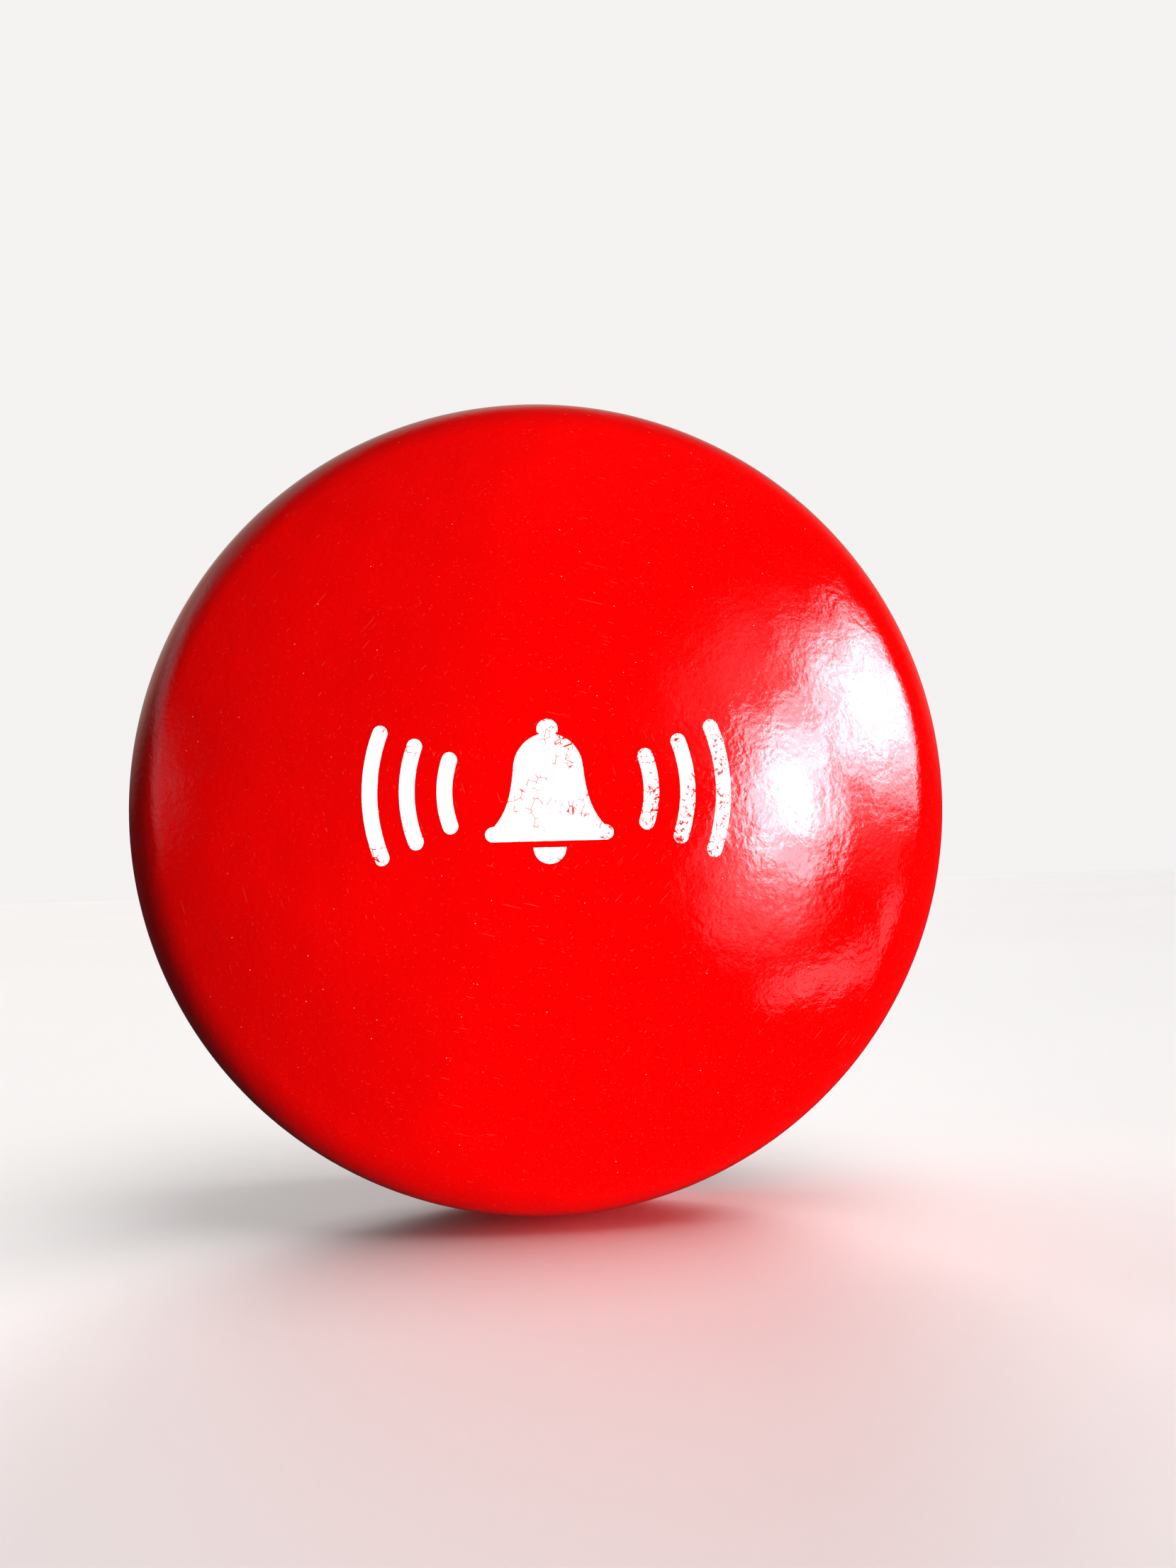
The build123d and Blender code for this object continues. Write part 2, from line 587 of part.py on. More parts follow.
def motor_gasket():
    """The thin rubber ring between the motor's face and the housing."""
    body = ring(MOTOR_RADIUS - 0.4, MOTOR_BOSS_RADIUS + 0.6, MOTOR_FRONT_Z, front_wall_z)
    for side in (-1, 1):
        body -= disc(MOTOR_SCREW_RADIUS + 0.3, MOTOR_FRONT_Z, front_wall_z, side * MOTOR_SCREW_OFFSET)
    return at_motor(body)


def motor_screw_head(x, gap=0.0):
    """The countersunk head of a motor screw, flush with the front of the housing."""
    depth = 1.1
    cone = Cone(MOTOR_SCREW_RADIUS + gap, 1.95 + gap, depth, align=FROM_BASE)
    return Pos(x, MOTOR_Y, HOUSING_FRONT_Z - depth) * cone


def motor_screws():
    """The two countersunk screws that hold the motor."""
    screws = []
    tip_z = MOTOR_FRONT_Z - MOTOR_CAN_WALL - 1.2
    for side in (-1, 1):
        x = side * MOTOR_SCREW_OFFSET
        shank = disc(MOTOR_SCREW_RADIUS, tip_z, HOUSING_FRONT_Z - 1.0, x, MOTOR_Y)
        slots = Box(2.2, 0.5, 1.0) + Box(0.5, 2.2, 1.0)
        screws.append(motor_screw_head(x) + shank - Pos(x, MOTOR_Y, HOUSING_FRONT_Z) * slots)
    return screws


# --- striker --------------------------------------------------------------------------------------


def striker_carrier():
    """The moulded two-armed carrier pressed onto the motor shaft; its hub stops the hammers."""
    low, high = CARRIER_Z
    arm = extrude(SlotCenterToCenter(2 * CARRIER_ARM_RADIUS, 2 * CARRIER_ARM_HALF_WIDTH), high - low)
    arm = fillet(arm.edges().group_by(Axis.Z)[0], 0.6)
    hub = disc(CARRIER_HUB_RADIUS, low, CARRIER_HUB_FRONT_Z)
    hub = chamfer(hub.edges().group_by(Axis.Z)[-1], 0.6)
    body = Pos(0, 0, low) * arm + hub - disc(SHAFT_RADIUS + FIT_GAP, low, CARRIER_HUB_FRONT_Z)
    for side in (-1, 1):
        body -= disc(PIN_RADIUS + FIT_GAP, low, high, side * CARRIER_ARM_RADIUS)
    return at_motor(body)


def hammer_pins():
    """The two steel pivot pins, grooved near the front for their clips."""
    pins = []
    for side in (-1, 1):
        x = side * CARRIER_ARM_RADIUS
        pin = disc(PIN_RADIUS, CARRIER_Z[0], PIN_FRONT_Z, x)
        pin = chamfer(pin.edges().group_by(Axis.Z)[-1], 0.3)
        groove = ring(PIN_RADIUS + 1, CLIP_GROOVE_RADIUS, CLIP_Z[0] - FIT_GAP, CLIP_Z[1] + FIT_GAP, x)
        pins.append(at_motor(pin - groove))
    return pins


def hammer_washers():
    """The thin washers between the carrier and the hammers."""
    outer, inner, thickness = PIN_WASHER
    low = CARRIER_Z[1]
    high = low + thickness
    return [at_motor(ring(outer, inner, low, high, side * CARRIER_ARM_RADIUS)) for side in (-1, 1)]


def hammer_clips():
    """The two E-clips that keep the hammers on their pins."""
    clips = []
    for side in (-1, 1):
        clip = ring(CLIP_RADIUS, CLIP_GROOVE_RADIUS + FIT_GAP, *CLIP_Z)
        low, high = CLIP_Z
        mouth = block((-CLIP_GROOVE_RADIUS, -CLIP_RADIUS - 1, low), (CLIP_GROOVE_RADIUS, 0, high))
        clips.append(at_motor(Pos(side * CARRIER_ARM_RADIUS, 0, 0) * (clip - mouth)))
    return clips


def hammer(side):
    """One steel hammer, hanging from its pin."""
    low, high = HAMMER_Z
    eye = Circle(HAMMER_EYE_RADIUS).edges()
    head = (Pos(0, -hammer_length) * Circle(HAMMER_HEAD_RADIUS)).edges()
    body = extrude(make_hull(eye + head), high - low)
    body = fillet(body.edges().group_by(Axis.Z)[0] + body.edges().group_by(Axis.Z)[-1], HAMMER_HEAD_ROUND)
    body -= disc(PIN_RADIUS + PIN_BORE_CLEARANCE, 0, high - low)
    return at_motor(Pos(side * CARRIER_ARM_RADIUS, 0, low) * body)


# --- circuit board and wiring ---------------------------------------------------------------------


def circuit_board():
    """The board that carries the supply terminals and the suppression parts."""
    width, depth, thickness = BOARD_SIZE
    board = Pos(0, BOARD_Y, BOARD_REAR_Z) * extrude(RectangleRounded(width, depth, 2.0), thickness)
    for side in (-1, 1):
        board -= disc(BOARD_SCREW_RADIUS + 0.25, BOARD_REAR_Z, board_front_z, *board_screw_xy(side))
    return board


def circuit_board_screws():
    """The two self-tapping screws that hold the board."""
    screws = []
    for side in (-1, 1):
        head = disc(2.4, BOARD_REAR_Z - 1.6, BOARD_REAR_Z)
        head = fillet(head.edges().group_by(Axis.Z)[0], 0.7)
        slots = Pos(0, 0, BOARD_REAR_Z - 1.6) * (Box(2.8, 0.6, 1.6) + Box(0.6, 2.8, 1.6))
        shank = disc(BOARD_SCREW_RADIUS - 0.2, BOARD_REAR_Z, board_front_z + 6)
        screws.append(Pos(*board_screw_xy(side), 0) * (head + shank - slots))
    return screws


def terminal_xs():
    """The middle of each terminal way."""
    return [(i - (TERMINAL_WAYS - 1) / 2) * TERMINAL_PITCH for i in range(TERMINAL_WAYS)]


terminal_low_z = BOARD_REAR_Z - TERMINAL_BLOCK_HEIGHT
terminal_mid_y = TERMINAL_BLOCK_LOW_Y + TERMINAL_BLOCK_DEPTH / 2
terminal_entry_z = BOARD_REAR_Z - 4.2


def terminal_block():
    """The moulded terminal block, with its wire entries facing the cable entry."""
    half = TERMINAL_WAYS * TERMINAL_PITCH / 2 + 0.4
    high_y = TERMINAL_BLOCK_LOW_Y + TERMINAL_BLOCK_DEPTH
    body = block((-half, TERMINAL_BLOCK_LOW_Y, terminal_low_z), (half, high_y, BOARD_REAR_Z))
    body = chamfer(body.edges().filter_by(Axis.X).group_by(Axis.Z)[0], 1.2)
    width, height = TERMINAL_ENTRY
    for x in terminal_xs():
        entry_low = (x - width / 2, TERMINAL_BLOCK_LOW_Y, terminal_entry_z - height / 2)
        entry_high = (x + width / 2, TERMINAL_BLOCK_LOW_Y + 8, terminal_entry_z + height / 2)
        body -= block(entry_low, entry_high)
        body -= disc(TERMINAL_WELL_RADIUS, terminal_low_z, terminal_entry_z, x, terminal_mid_y)
    return body


def terminal_clamps():
    """The brass cage in each way that grips a wire."""
    cages = []
    half_x, half_z = (side / 2 - 0.1 for side in TERMINAL_ENTRY)
    wall = 0.5
    low_y, high_y = TERMINAL_BLOCK_LOW_Y + 2.0, TERMINAL_BLOCK_LOW_Y + 7.6
    z = terminal_entry_z
    for x in terminal_xs():
        cage = block((x - half_x, low_y, z - half_z), (x + half_x, high_y, z + half_z))
        inner_low = (x - half_x + wall, low_y, z - half_z + wall)
        inner_high = (x + half_x - wall, high_y, z + half_z - wall)
        cages.append(cage - block(inner_low, inner_high) - disc(1.3, z - half_z, z, x, terminal_mid_y))
    return cages


def terminal_screws():
    """The slotted clamp screws, one in each way."""
    screws = []
    for x in terminal_xs():
        head = disc(1.75, terminal_low_z + 1.0, terminal_low_z + 2.6, x, terminal_mid_y)
        shank = disc(1.2, terminal_low_z + 2.6, terminal_entry_z - 0.4, x, terminal_mid_y)
        slot = Pos(x, terminal_mid_y, terminal_low_z + 1.0) * Box(4.0, 0.6, 1.6)
        screws.append(head + shank - slot)
    return screws


def suppression_capacitor():
    """A box film capacitor across the motor supply."""
    width, depth, height = CAPACITOR_SIZE
    body = Pos(*CAPACITOR_XY, BOARD_REAR_Z - height) * Box(width, depth, height, align=FROM_BASE)
    return fillet(body.edges().group_by(Axis.Z)[0] + body.edges().filter_by(Axis.Z), 0.5)


def polarity_diode():
    """The axial diode that makes the bell polarity-sensitive, with its bent leads."""
    x, y = DIODE_XY
    z = BOARD_REAR_Z - DIODE_RADIUS - 0.3
    middle = Pos(x, y, z) * Rot(0, 90, 0)
    body = middle * (Cylinder(DIODE_RADIUS, DIODE_LENGTH) + Cylinder(DIODE_LEAD_RADIUS, DIODE_LEAD_SPAN))
    end_x = DIODE_LEAD_SPAN / 2 - DIODE_LEAD_RADIUS
    return body + [disc(DIODE_LEAD_RADIUS, z, BOARD_REAR_Z, x + side * end_x, y) for side in (-1, 1)]


# Each motor lead runs from its pad on the board, past the bolt tower, to a solder tab on the motor.
LEAD_ROUTE = (
    (LEAD_PAD_X, 30.0, BOARD_REAR_Z),
    (LEAD_PAD_X, 30.0, 11.0),
    (16.3, 27.6, 8.0),
    (16.9, 21.0, 6.4),
    (16.2, 9.0, 5.6),
    (15.4, -6.0, 5.4),
    (16.2, -20.0, 4.9),
    (16.0, -31.0, 4.5),
    (14.5, -38.4, 4.3),
    (11.5, MOTOR_Y, 4.2),
    (TERMINAL_OFFSET + 0.25, MOTOR_Y, 4.2),
)


def bend_radii(route):
    """For each inner point of a route, the radius of an arc that takes 0.45 of its shorter run."""
    radii = []
    for a, b, c in zip(route, route[1:], route[2:]):
        before, after = Vector(*b) - Vector(*a), Vector(*c) - Vector(*b)
        half_turn = math.radians(before.get_angle(after)) / 2
        radii.append(0.45 * min(before.length, after.length) / math.tan(half_turn))
    return radii


def motor_lead(side):
    """One insulated lead, as a tube along straight runs joined by arcs."""
    route = [(side * x, y, z) for x, y, z in LEAD_ROUTE]
    path = FilletPolyline(*route, radius=bend_radii(route))
    start = Plane(path @ 0, z_dir=path % 0)
    tube = sweep(start * Circle(LEAD_RADIUS), path=path)
    swept_length = tube.volume / (math.pi * LEAD_RADIUS**2)
    print("motor lead length", round(path.length, 1), "swept", round(swept_length, 1))
    print("motor lead bend radii", [round(radius, 1) for radius in bend_radii(route)])
    return tube


# --- export ---------------------------------------------------------------------------------------

PIECES = {
    "gong": gong,
    "gong_boss": gong_boss,
    "gong_isolator": gong_isolator,
    "centre_sleeve": centre_sleeve,
    "gong_bolt": gong_bolt,
    "gong_flat_washer": gong_flat_washer,
    "gong_spring_washer": gong_spring_washer,
    "base_housing": base_housing,
    "mounting_plate": mounting_plate,
    "locking_screws": locking_screws,
    "cable_grommet": cable_grommet,
    "motor_can": motor_can,
    "motor_end_cap": motor_end_cap,
    "motor_bushes": motor_bushes,
    "motor_magnets": motor_magnets,
    "motor_brushes": motor_brushes,
    "motor_terminals": motor_terminals,
    "motor_gasket": motor_gasket,
    "motor_screws": motor_screws,
    "motor_shaft": motor_shaft,
    "motor_armature": motor_armature,
    "motor_windings": motor_windings,
    "motor_commutator": motor_commutator,
    "striker_carrier": striker_carrier,
    "hammer_pins": hammer_pins,
    "hammer_washers": hammer_washers,
    "hammer_clips": hammer_clips,
    "hammer_left": lambda: hammer(-1),
    "hammer_right": lambda: hammer(1),
    "circuit_board": circuit_board,
    "circuit_board_screws": circuit_board_screws,
    "terminal_block": terminal_block,
    "terminal_clamps": terminal_clamps,
    "terminal_screws": terminal_screws,
    "suppression_capacitor": suppression_capacitor,
    "polarity_diode": polarity_diode,
    "motor_lead_positive": lambda: motor_lead(1),
    "motor_lead_negative": lambda: motor_lead(-1),
}


def export_all():
    os.makedirs("parts", exist_ok=True)
    for name, make in PIECES.items():
        made = make()
        solids = made if isinstance(made, list) else [made]
        placed = [place(solid) for solid in solids]
        shape = placed[0] if len(placed) == 1 else Compound(children=placed)
        export_step(shape, f"parts/{name}.step")


export_all()
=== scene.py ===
import json
import math

import bmesh
import bpy
from mathutils import Euler, Matrix, Vector, noise


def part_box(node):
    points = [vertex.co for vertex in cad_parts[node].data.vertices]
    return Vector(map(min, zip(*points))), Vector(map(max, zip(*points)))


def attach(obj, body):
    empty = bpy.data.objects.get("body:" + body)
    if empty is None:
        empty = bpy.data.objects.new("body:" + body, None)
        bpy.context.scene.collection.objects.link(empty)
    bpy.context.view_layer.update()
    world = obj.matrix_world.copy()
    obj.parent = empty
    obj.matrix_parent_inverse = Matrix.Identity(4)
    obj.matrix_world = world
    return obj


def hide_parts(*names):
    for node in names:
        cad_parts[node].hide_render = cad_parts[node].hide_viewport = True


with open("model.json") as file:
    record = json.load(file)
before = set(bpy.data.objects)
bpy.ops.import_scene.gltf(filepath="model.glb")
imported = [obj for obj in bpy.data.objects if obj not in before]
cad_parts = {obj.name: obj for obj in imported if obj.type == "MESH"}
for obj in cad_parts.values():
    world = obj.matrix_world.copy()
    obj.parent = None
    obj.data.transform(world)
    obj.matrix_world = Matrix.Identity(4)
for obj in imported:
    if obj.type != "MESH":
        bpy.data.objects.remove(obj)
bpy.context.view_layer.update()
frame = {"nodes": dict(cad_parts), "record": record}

# The bell's frame: +Z up, the gong faces -Y, the wall is at Y = 0, all in metres.

MM = 0.001

# --- the gong's outline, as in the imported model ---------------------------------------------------

GONG_LOW, GONG_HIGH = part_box("gong")
GONG_RADIUS = 75 * MM
GONG_WALL = 1.6 * MM
SKIRT_LENGTH = 15 * MM
SKIRT_FLARE = math.radians(4)
SHOULDER_RADIUS = 17 * MM
DOME_EDGE_SLOPE = math.radians(27)
RIM_ROUND = 0.5 * MM
RIM_Y = GONG_HIGH.y

# Steps of the gong's mesh: round its axis, and along each stretch of its outline.
GONG_SEGMENTS = 320
DOME_STEPS = 46
DOME_STEPS_INSIDE = 30
SHOULDER_STEPS = 30
SHOULDER_STEPS_INSIDE = 22
SKIRT_STEPS = 10
RIM_STEPS = 7

# The unevenness of pressed sheet: (height, width) of its long and its short waves.
SHEET_WAVES = ((0.02 * MM, 22 * MM), (0.008 * MM, 9 * MM))
SHARP_EDGE = math.radians(35)

skirt_lean_in = SKIRT_LENGTH * math.tan(SKIRT_FLARE)
shoulder_x = GONG_RADIUS - skirt_lean_in - SHOULDER_RADIUS * math.cos(SKIRT_FLARE)
shoulder_z = SKIRT_LENGTH - SHOULDER_RADIUS * math.sin(SKIRT_FLARE) - RIM_Y
dome_edge_x = shoulder_x + SHOULDER_RADIUS * math.sin(DOME_EDGE_SLOPE)
skirt_top_x = shoulder_x + (SHOULDER_RADIUS - GONG_WALL) * math.cos(SKIRT_FLARE)
dome_radius = dome_edge_x / math.sin(DOME_EDGE_SLOPE)
dome_z = shoulder_z + (SHOULDER_RADIUS - dome_radius) * math.cos(DOME_EDGE_SLOPE)

# --- the print: a film of ink on the dome, drawn in millimetres from the dome's middle ------------

PRINT_LIFT = 0.04 * MM
PRINT_THICKNESS = 0.048 * MM  # its underside is sunk into the paint
BELL_KNOB_RADIUS = 1.7
BELL_KNOB_TOP = 11.5
BELL_KNOB_NECK = 1.2
BELL_BODY_TOP = 9.2
BELL_LIP_TOP = -5.6
BELL_LIP_BOTTOM = -8.0
BELL_CROWN = 5.0  # half widths
BELL_WAIST = 6.4
BELL_LIP_HALF_WIDTH = 10.2
CROWN_SHARE = 0.34  # of the body's height
FLARE_STEEPNESS = 5
LIP_OVERHANG = 1.4
CLAPPER_TOP = -9.0
CLAPPER_RADIUS = 2.6
WAVE_RADII = (16.5, 22.5, 28.5)
WAVE_HALF_WIDTH = 1.25
WAVE_HALF_ANGLE = math.radians(23)
EDGE_WANDER = 0.035  # how far a worn screen's edge strays, and how much further in places
EDGE_WANDER_MORE = 0.03
EDGE_PITCH = 2.6  # waves to a millimetre, along the edge and from place to place
EDGE_PATCH_PITCH = 0.2
BELL_ROWS = 110
BELL_COLUMNS = 24
CLAPPER_ROWS = 24
CLAPPER_COLUMNS = 12
WAVE_ROWS = 40
WAVE_COLUMNS = 4
ROW_MARGIN = 0.02  # keeps the end rows from shrinking to a point

# --- stage, light and camera ----------------------------------------------------------------------

FLOOR_HALF = 4.0  # half its width, in metres
EVEN_COLOUR = (0.95, 0.95, 1.0)
EVEN_LIGHT = 0.13
BACKDROP_COLOUR = (0.93, 0.92, 0.91)
BACKDROP = 0.97
WINDOW_COLOUR = (1.0, 0.88, 1.0)
WALL_COLOUR = (1.0, 0.82, 0.70)
DIM_ROOM = 0.02
FAR_WALL = 0.2

# Where a direction from the bell comes above the table, and where it looks behind the bell.
ABOVE_TABLE = (0.02, 0.24)
BEHIND_BELL = (0.25, 0.9)

CURTAIN_FOLD = (0.045, 0.045, 0.2)  # tall and narrow
DARK_FOLD = 0.45
BRIGHT_FOLD = 1.45

# Distant lights: (azimuth, elevation, strength, softness), angles in degrees.
SUNS = {
    "key_light": (46, -8, 8.1, 18),
    "upper_light": (0, 85, 0.25, 60),
    "back_light": (172, 24, 2.8, 30),
    "left_light": (-130, 35, 1.1, 50),
}
FLOOR_SUN = (60, 68, 2.1, 50)

# Bright patches of the room that gloss shows: (azimuth, elevation, half width, half height, lean,
# softness, unevenness, brightness). Angles are in degrees, and the softness and unevenness of a
# patch's edge are shares of its size.
WINDOW_PATCHES = (
    (67, 16, 11, 10, 15, 0.8, 1.2, 28.0),
    (46.5, 3, 8, 10.5, 10, 0.8, 0.9, 32.0),
    (60, 12, 16, 12, -30, 0.9, 1.0, 2.8),
    (47, 19, 14, 10, -20, 1.0, 0.8, 1.1),
    (42, -9, 9, 10, 20, 0.9, 0.8, 3.0),
    (56, -27, 9, 3, -20, 0.5, 0.5, 1.6),
    (69, -18, 2.5, 7, 10, 0.5, 0.5, 1.2),
)
LEFT_PATCHES = (
    (-76, 6, 8, 8, 0, 0.9, 0.5, 0.42),
    (-97, 21, 6, 22, -60, 0.7, 0.5, 0.42),
)
WALL_PATCHES = ((-150, 34, 40, 24, 0, 0.35, 0.0, 0.3),)

LENS = 36.06  # focal length in millimetres, like SENSOR
SENSOR = 36.0
CAMERA_IN_FRONT = 186.4 * MM  # of the dome's middle
CAMERA_LEFT = 5.9 * MM
CAMERA_BELOW = 12.6 * MM
CAMERA_YAW = math.radians(-3.74)
CAMERA_PITCH = math.radians(4.13)
CAMERA_ROLL = math.radians(-1.6)


# --- materials ------------------------------------------------------------------------------------


class Nodes:
    """A node tree, with short ways to make the textures that the materials and the room share."""

    def __init__(self, tree, coordinates):
        self.tree = tree
        self.tree.nodes.clear()
        self.coordinates = self.tree.nodes.new("ShaderNodeTexCoord").outputs[coordinates]

    def link(self, source, target):
        """Links one socket to another."""
        self.tree.links.new(source, target)

    def feed(self, value, target):
        """Links a socket, or sets a plain number, vector or colour."""
        if isinstance(value, bpy.types.NodeSocket):
            self.link(value, target)
        elif isinstance(value, tuple) and len(value) == 3 and target.type == "RGBA":
            target.default_value = (*value, 1.0)
        else:
            target.default_value = value

    def place(self, size=(1, 1, 1), turn=(0, 0, 0), shift=(0, 0, 0)):
        """The coordinates shifted and turned, with a feature of that size made 1 long each way."""
        mapping = self.tree.nodes.new("ShaderNodeMapping")
        mapping.vector_type = "TEXTURE"
        mapping.inputs["Scale"].default_value = size
        mapping.inputs["Rotation"].default_value = [math.radians(angle) for angle in turn]
        mapping.inputs["Location"].default_value = shift
        self.link(self.coordinates, mapping.inputs["Vector"])
        return mapping.outputs["Vector"]

    def noise(self, scale, detail=3.0, rough=0.5, distortion=0.0, at=None):
        """Soft noise from 0 to 1, with about that many waves to a metre."""
        node = self.tree.nodes.new("ShaderNodeTexNoise")
        node.inputs["Scale"].default_value = scale
        node.inputs["Detail"].default_value = detail
        node.inputs["Roughness"].default_value = rough
        node.inputs["Distortion"].default_value = distortion
        self.link(at or self.coordinates, node.inputs["Vector"])
        return node.outputs["Fac"]

    def voronoi(self, scale, feature="F1"):
        """A texture of cells, with about that many to a metre."""
        node = self.tree.nodes.new("ShaderNodeTexVoronoi")
        node.feature = feature
        node.inputs["Scale"].default_value = scale
        self.link(self.coordinates, node.inputs["Vector"])
        return node.outputs

    def math(self, operation, a, b=0.0):
        """One operation on two numbers or sockets."""
        node = self.tree.nodes.new("ShaderNodeMath")
        node.operation = operation
        self.feed(a, node.inputs[0])
        self.feed(b, node.inputs[1])
        return node.outputs[0]

    def step(self, value, low, high, to_low=0.0, to_high=1.0):
        """Maps low..high of a value onto to_low..to_high, clamped and smooth."""
        node = self.tree.nodes.new("ShaderNodeMapRange")
        node.interpolation_type = "SMOOTHSTEP"
        self.feed(value, node.inputs["Value"])
        limits = {"From Min": low, "From Max": high, "To Min": to_low, "To Max": to_high}
        for name, number in limits.items():
            node.inputs[name].default_value = number
        return node.outputs["Result"]

    def mix(self, factor, a, b):
        """Colour a where the factor is 0 and b where it is 1."""
        node = self.tree.nodes.new("ShaderNodeMix")
        node.data_type = "RGBA"  # its colour sockets are inputs 6 and 7 and output 2
        self.feed(factor, node.inputs[0])
        self.feed(a, node.inputs[6])
        self.feed(b, node.inputs[7])
        return node.outputs[2]

    def axis(self, name):
        """One of the object's own coordinates."""
        node = self.tree.nodes.new("ShaderNodeSeparateXYZ")
        self.link(self.coordinates, node.inputs[0])
        return node.outputs[name]

    def specks(self, scale, size, share):
        """Small scattered dots: 1 in a dot, 0 elsewhere, in that share of the cells."""
        cells = self.voronoi(scale)
        split = self.tree.nodes.new("ShaderNodeSeparateColor")
        self.link(cells["Color"], split.inputs[0])
        chosen = self.math("LESS_THAN", split.outputs[0], share)
        return self.math("MULTIPLY", self.step(cells["Distance"], size, size * 0.7), chosen)

    def scratches(self, width, length, amount, turns):
        """Fine hairlines in the given directions, in degrees: 1 on a line, 0 elsewhere."""
        total = 0.0
        for index, turn in enumerate(turns):
            at = self.place((length, width, width), (0, turn, 0), (0, 0, index))
            line = self.step(self.noise(1.0, 1.0, at=at), 1 - amount, 1.02 - amount)
            total = self.math("MAXIMUM", total, line)
        return total

    def cracks(self, scale, width):
        """A web of fine cracks: 1 on a crack, 0 elsewhere."""
        return self.step(self.voronoi(scale, "DISTANCE_TO_EDGE")["Distance"], width, width * 0.5)

    def along(self, vector):
        """How far the coordinates reach along a vector."""
        node = self.tree.nodes.new("ShaderNodeVectorMath")
        node.operation = "DOT_PRODUCT"
        self.link(self.coordinates, node.inputs[0])
        node.inputs[1].default_value = vector
        return node.outputs["Value"]


class Shader(Nodes):
    """A material made of one principled shader."""

    def __init__(self, name, colour, roughness, metallic=0.0):
        self.material = bpy.data.materials.new(name)
        self.material.use_nodes = True
        super().__init__(self.material.node_tree, "Object")
        output = self.tree.nodes.new("ShaderNodeOutputMaterial")
        self.bsdf = self.tree.nodes.new("ShaderNodeBsdfPrincipled")
        self.link(self.bsdf.outputs["BSDF"], output.inputs["Surface"])
        self.bsdf.inputs["Base Color"].default_value = (*colour, 1.0)
        self.bsdf.inputs["Roughness"].default_value = roughness
        self.bsdf.inputs["Metallic"].default_value = metallic
        self.material.diffuse_color = (*colour, 1.0)

    def bump(self, height, depth):
        """Adds a bump of that depth, in metres, on top of any earlier one."""
        node = self.tree.nodes.new("ShaderNodeBump")
        node.inputs["Strength"].default_value = 1.0
        node.inputs["Distance"].default_value = depth
        self.link(height, node.inputs["Height"])
        earlier = self.bsdf.inputs["Normal"].links
        if earlier:
            self.link(earlier[0].from_socket, node.inputs["Normal"])
        self.link(node.outputs["Normal"], self.bsdf.inputs["Normal"])

    def colour(self, value):
        """Varies the colour over the surface."""
        self.link(value, self.bsdf.inputs["Base Color"])

    def roughness(self, value):
        """Varies the roughness over the surface."""
        self.link(value, self.bsdf.inputs["Roughness"])


def shade(colour, factor):
    """A darker colour of the same hue."""
    return tuple(channel * factor for channel in colour)


def gloss_red_paint(name, colour, peel):
    """Stoved gloss enamel: clear coat, orange peel, a few dust nibs and hairline scratches."""
    look = Shader(name, colour, 0.32)
    look.bsdf.inputs["Coat Weight"].default_value = 1.0
    look.bsdf.inputs["Coat Roughness"].default_value = 0.08
    look.bsdf.inputs["Specular IOR Level"].default_value = 0.0
    tone = look.mix(look.step(look.noise(26.0, 4.0), 0.35, 0.65), shade(colour, 0.9), colour)
    dust = look.math("MAXIMUM", look.specks(400.0, 0.032, 0.3), look.specks(950.0, 0.07, 0.04))
    fibres = look.scratches(0.12 * MM, 8 * MM, 0.235, (15, 74, 131))
    tone = look.mix(look.math("MULTIPLY", fibres, 0.10), tone, (1.0, 0.55, 0.5))
    look.colour(look.mix(look.math("MULTIPLY", dust, 0.65), tone, (0.95, 0.9, 0.85)))
    look.roughness(look.step(look.noise(60.0, 5.0), 0.3, 0.7, 0.26, 0.4))
    look.bump(look.noise(850.0, 2.0, 0.5), peel)
    look.bump(look.noise(190.0, 0.0), peel * 2.0)
    look.bump(dust, 0.03 * MM)
    coat_normal = look.bsdf.inputs["Normal"].links[0].from_socket
    look.link(coat_normal, look.bsdf.inputs["Coat Normal"])
    return look.material


def white_ink(name, paint):
    """Screen-printed ink, chipped and cracked toward the right, with the paint showing through."""
    look = Shader(name, (0.9, 0.9, 0.9), 0.38)
    toward_right = look.step(look.axis("X"), -6 * MM, 18 * MM, 0.0, 0.10)
    patches = look.step(look.math("ADD", look.noise(170.0, 2.0), toward_right), 0.54, 0.60)
    chips = look.step(look.math("ADD", look.noise(1700.0, 3.0, 0.6), toward_right), 0.66, 0.70)
    cracked = look.step(look.noise(600.0, 1.0), 0.46, 0.54)
    cracks = look.math("MULTIPLY", look.cracks(750.0, 0.05), cracked)
    worn = look.math("MULTIPLY", look.math("MAXIMUM", chips, cracks), patches)
    lines = look.scratches(0.11 * MM, 9 * MM, 0.255, (32, 124, 158))
    pinholes = look.specks(1100.0, 0.13, 0.06)
    worn = look.math("MAXIMUM", worn, look.math("MULTIPLY", lines, 0.5))
    worn = look.math("MAXIMUM", worn, pinholes)
    clean = look.mix(look.noise(150.0), (0.88, 0.88, 0.87), (0.80, 0.79, 0.78))
    look.colour(look.mix(worn, clean, paint))
    look.roughness(look.step(look.noise(500.0), 0.3, 0.7, 0.3, 0.5))
    look.bump(look.math("SUBTRACT", 1.0, worn), 0.02 * MM)
    look.bump(look.noise(2500.0, 2.0), 0.004 * MM)
    return look.material


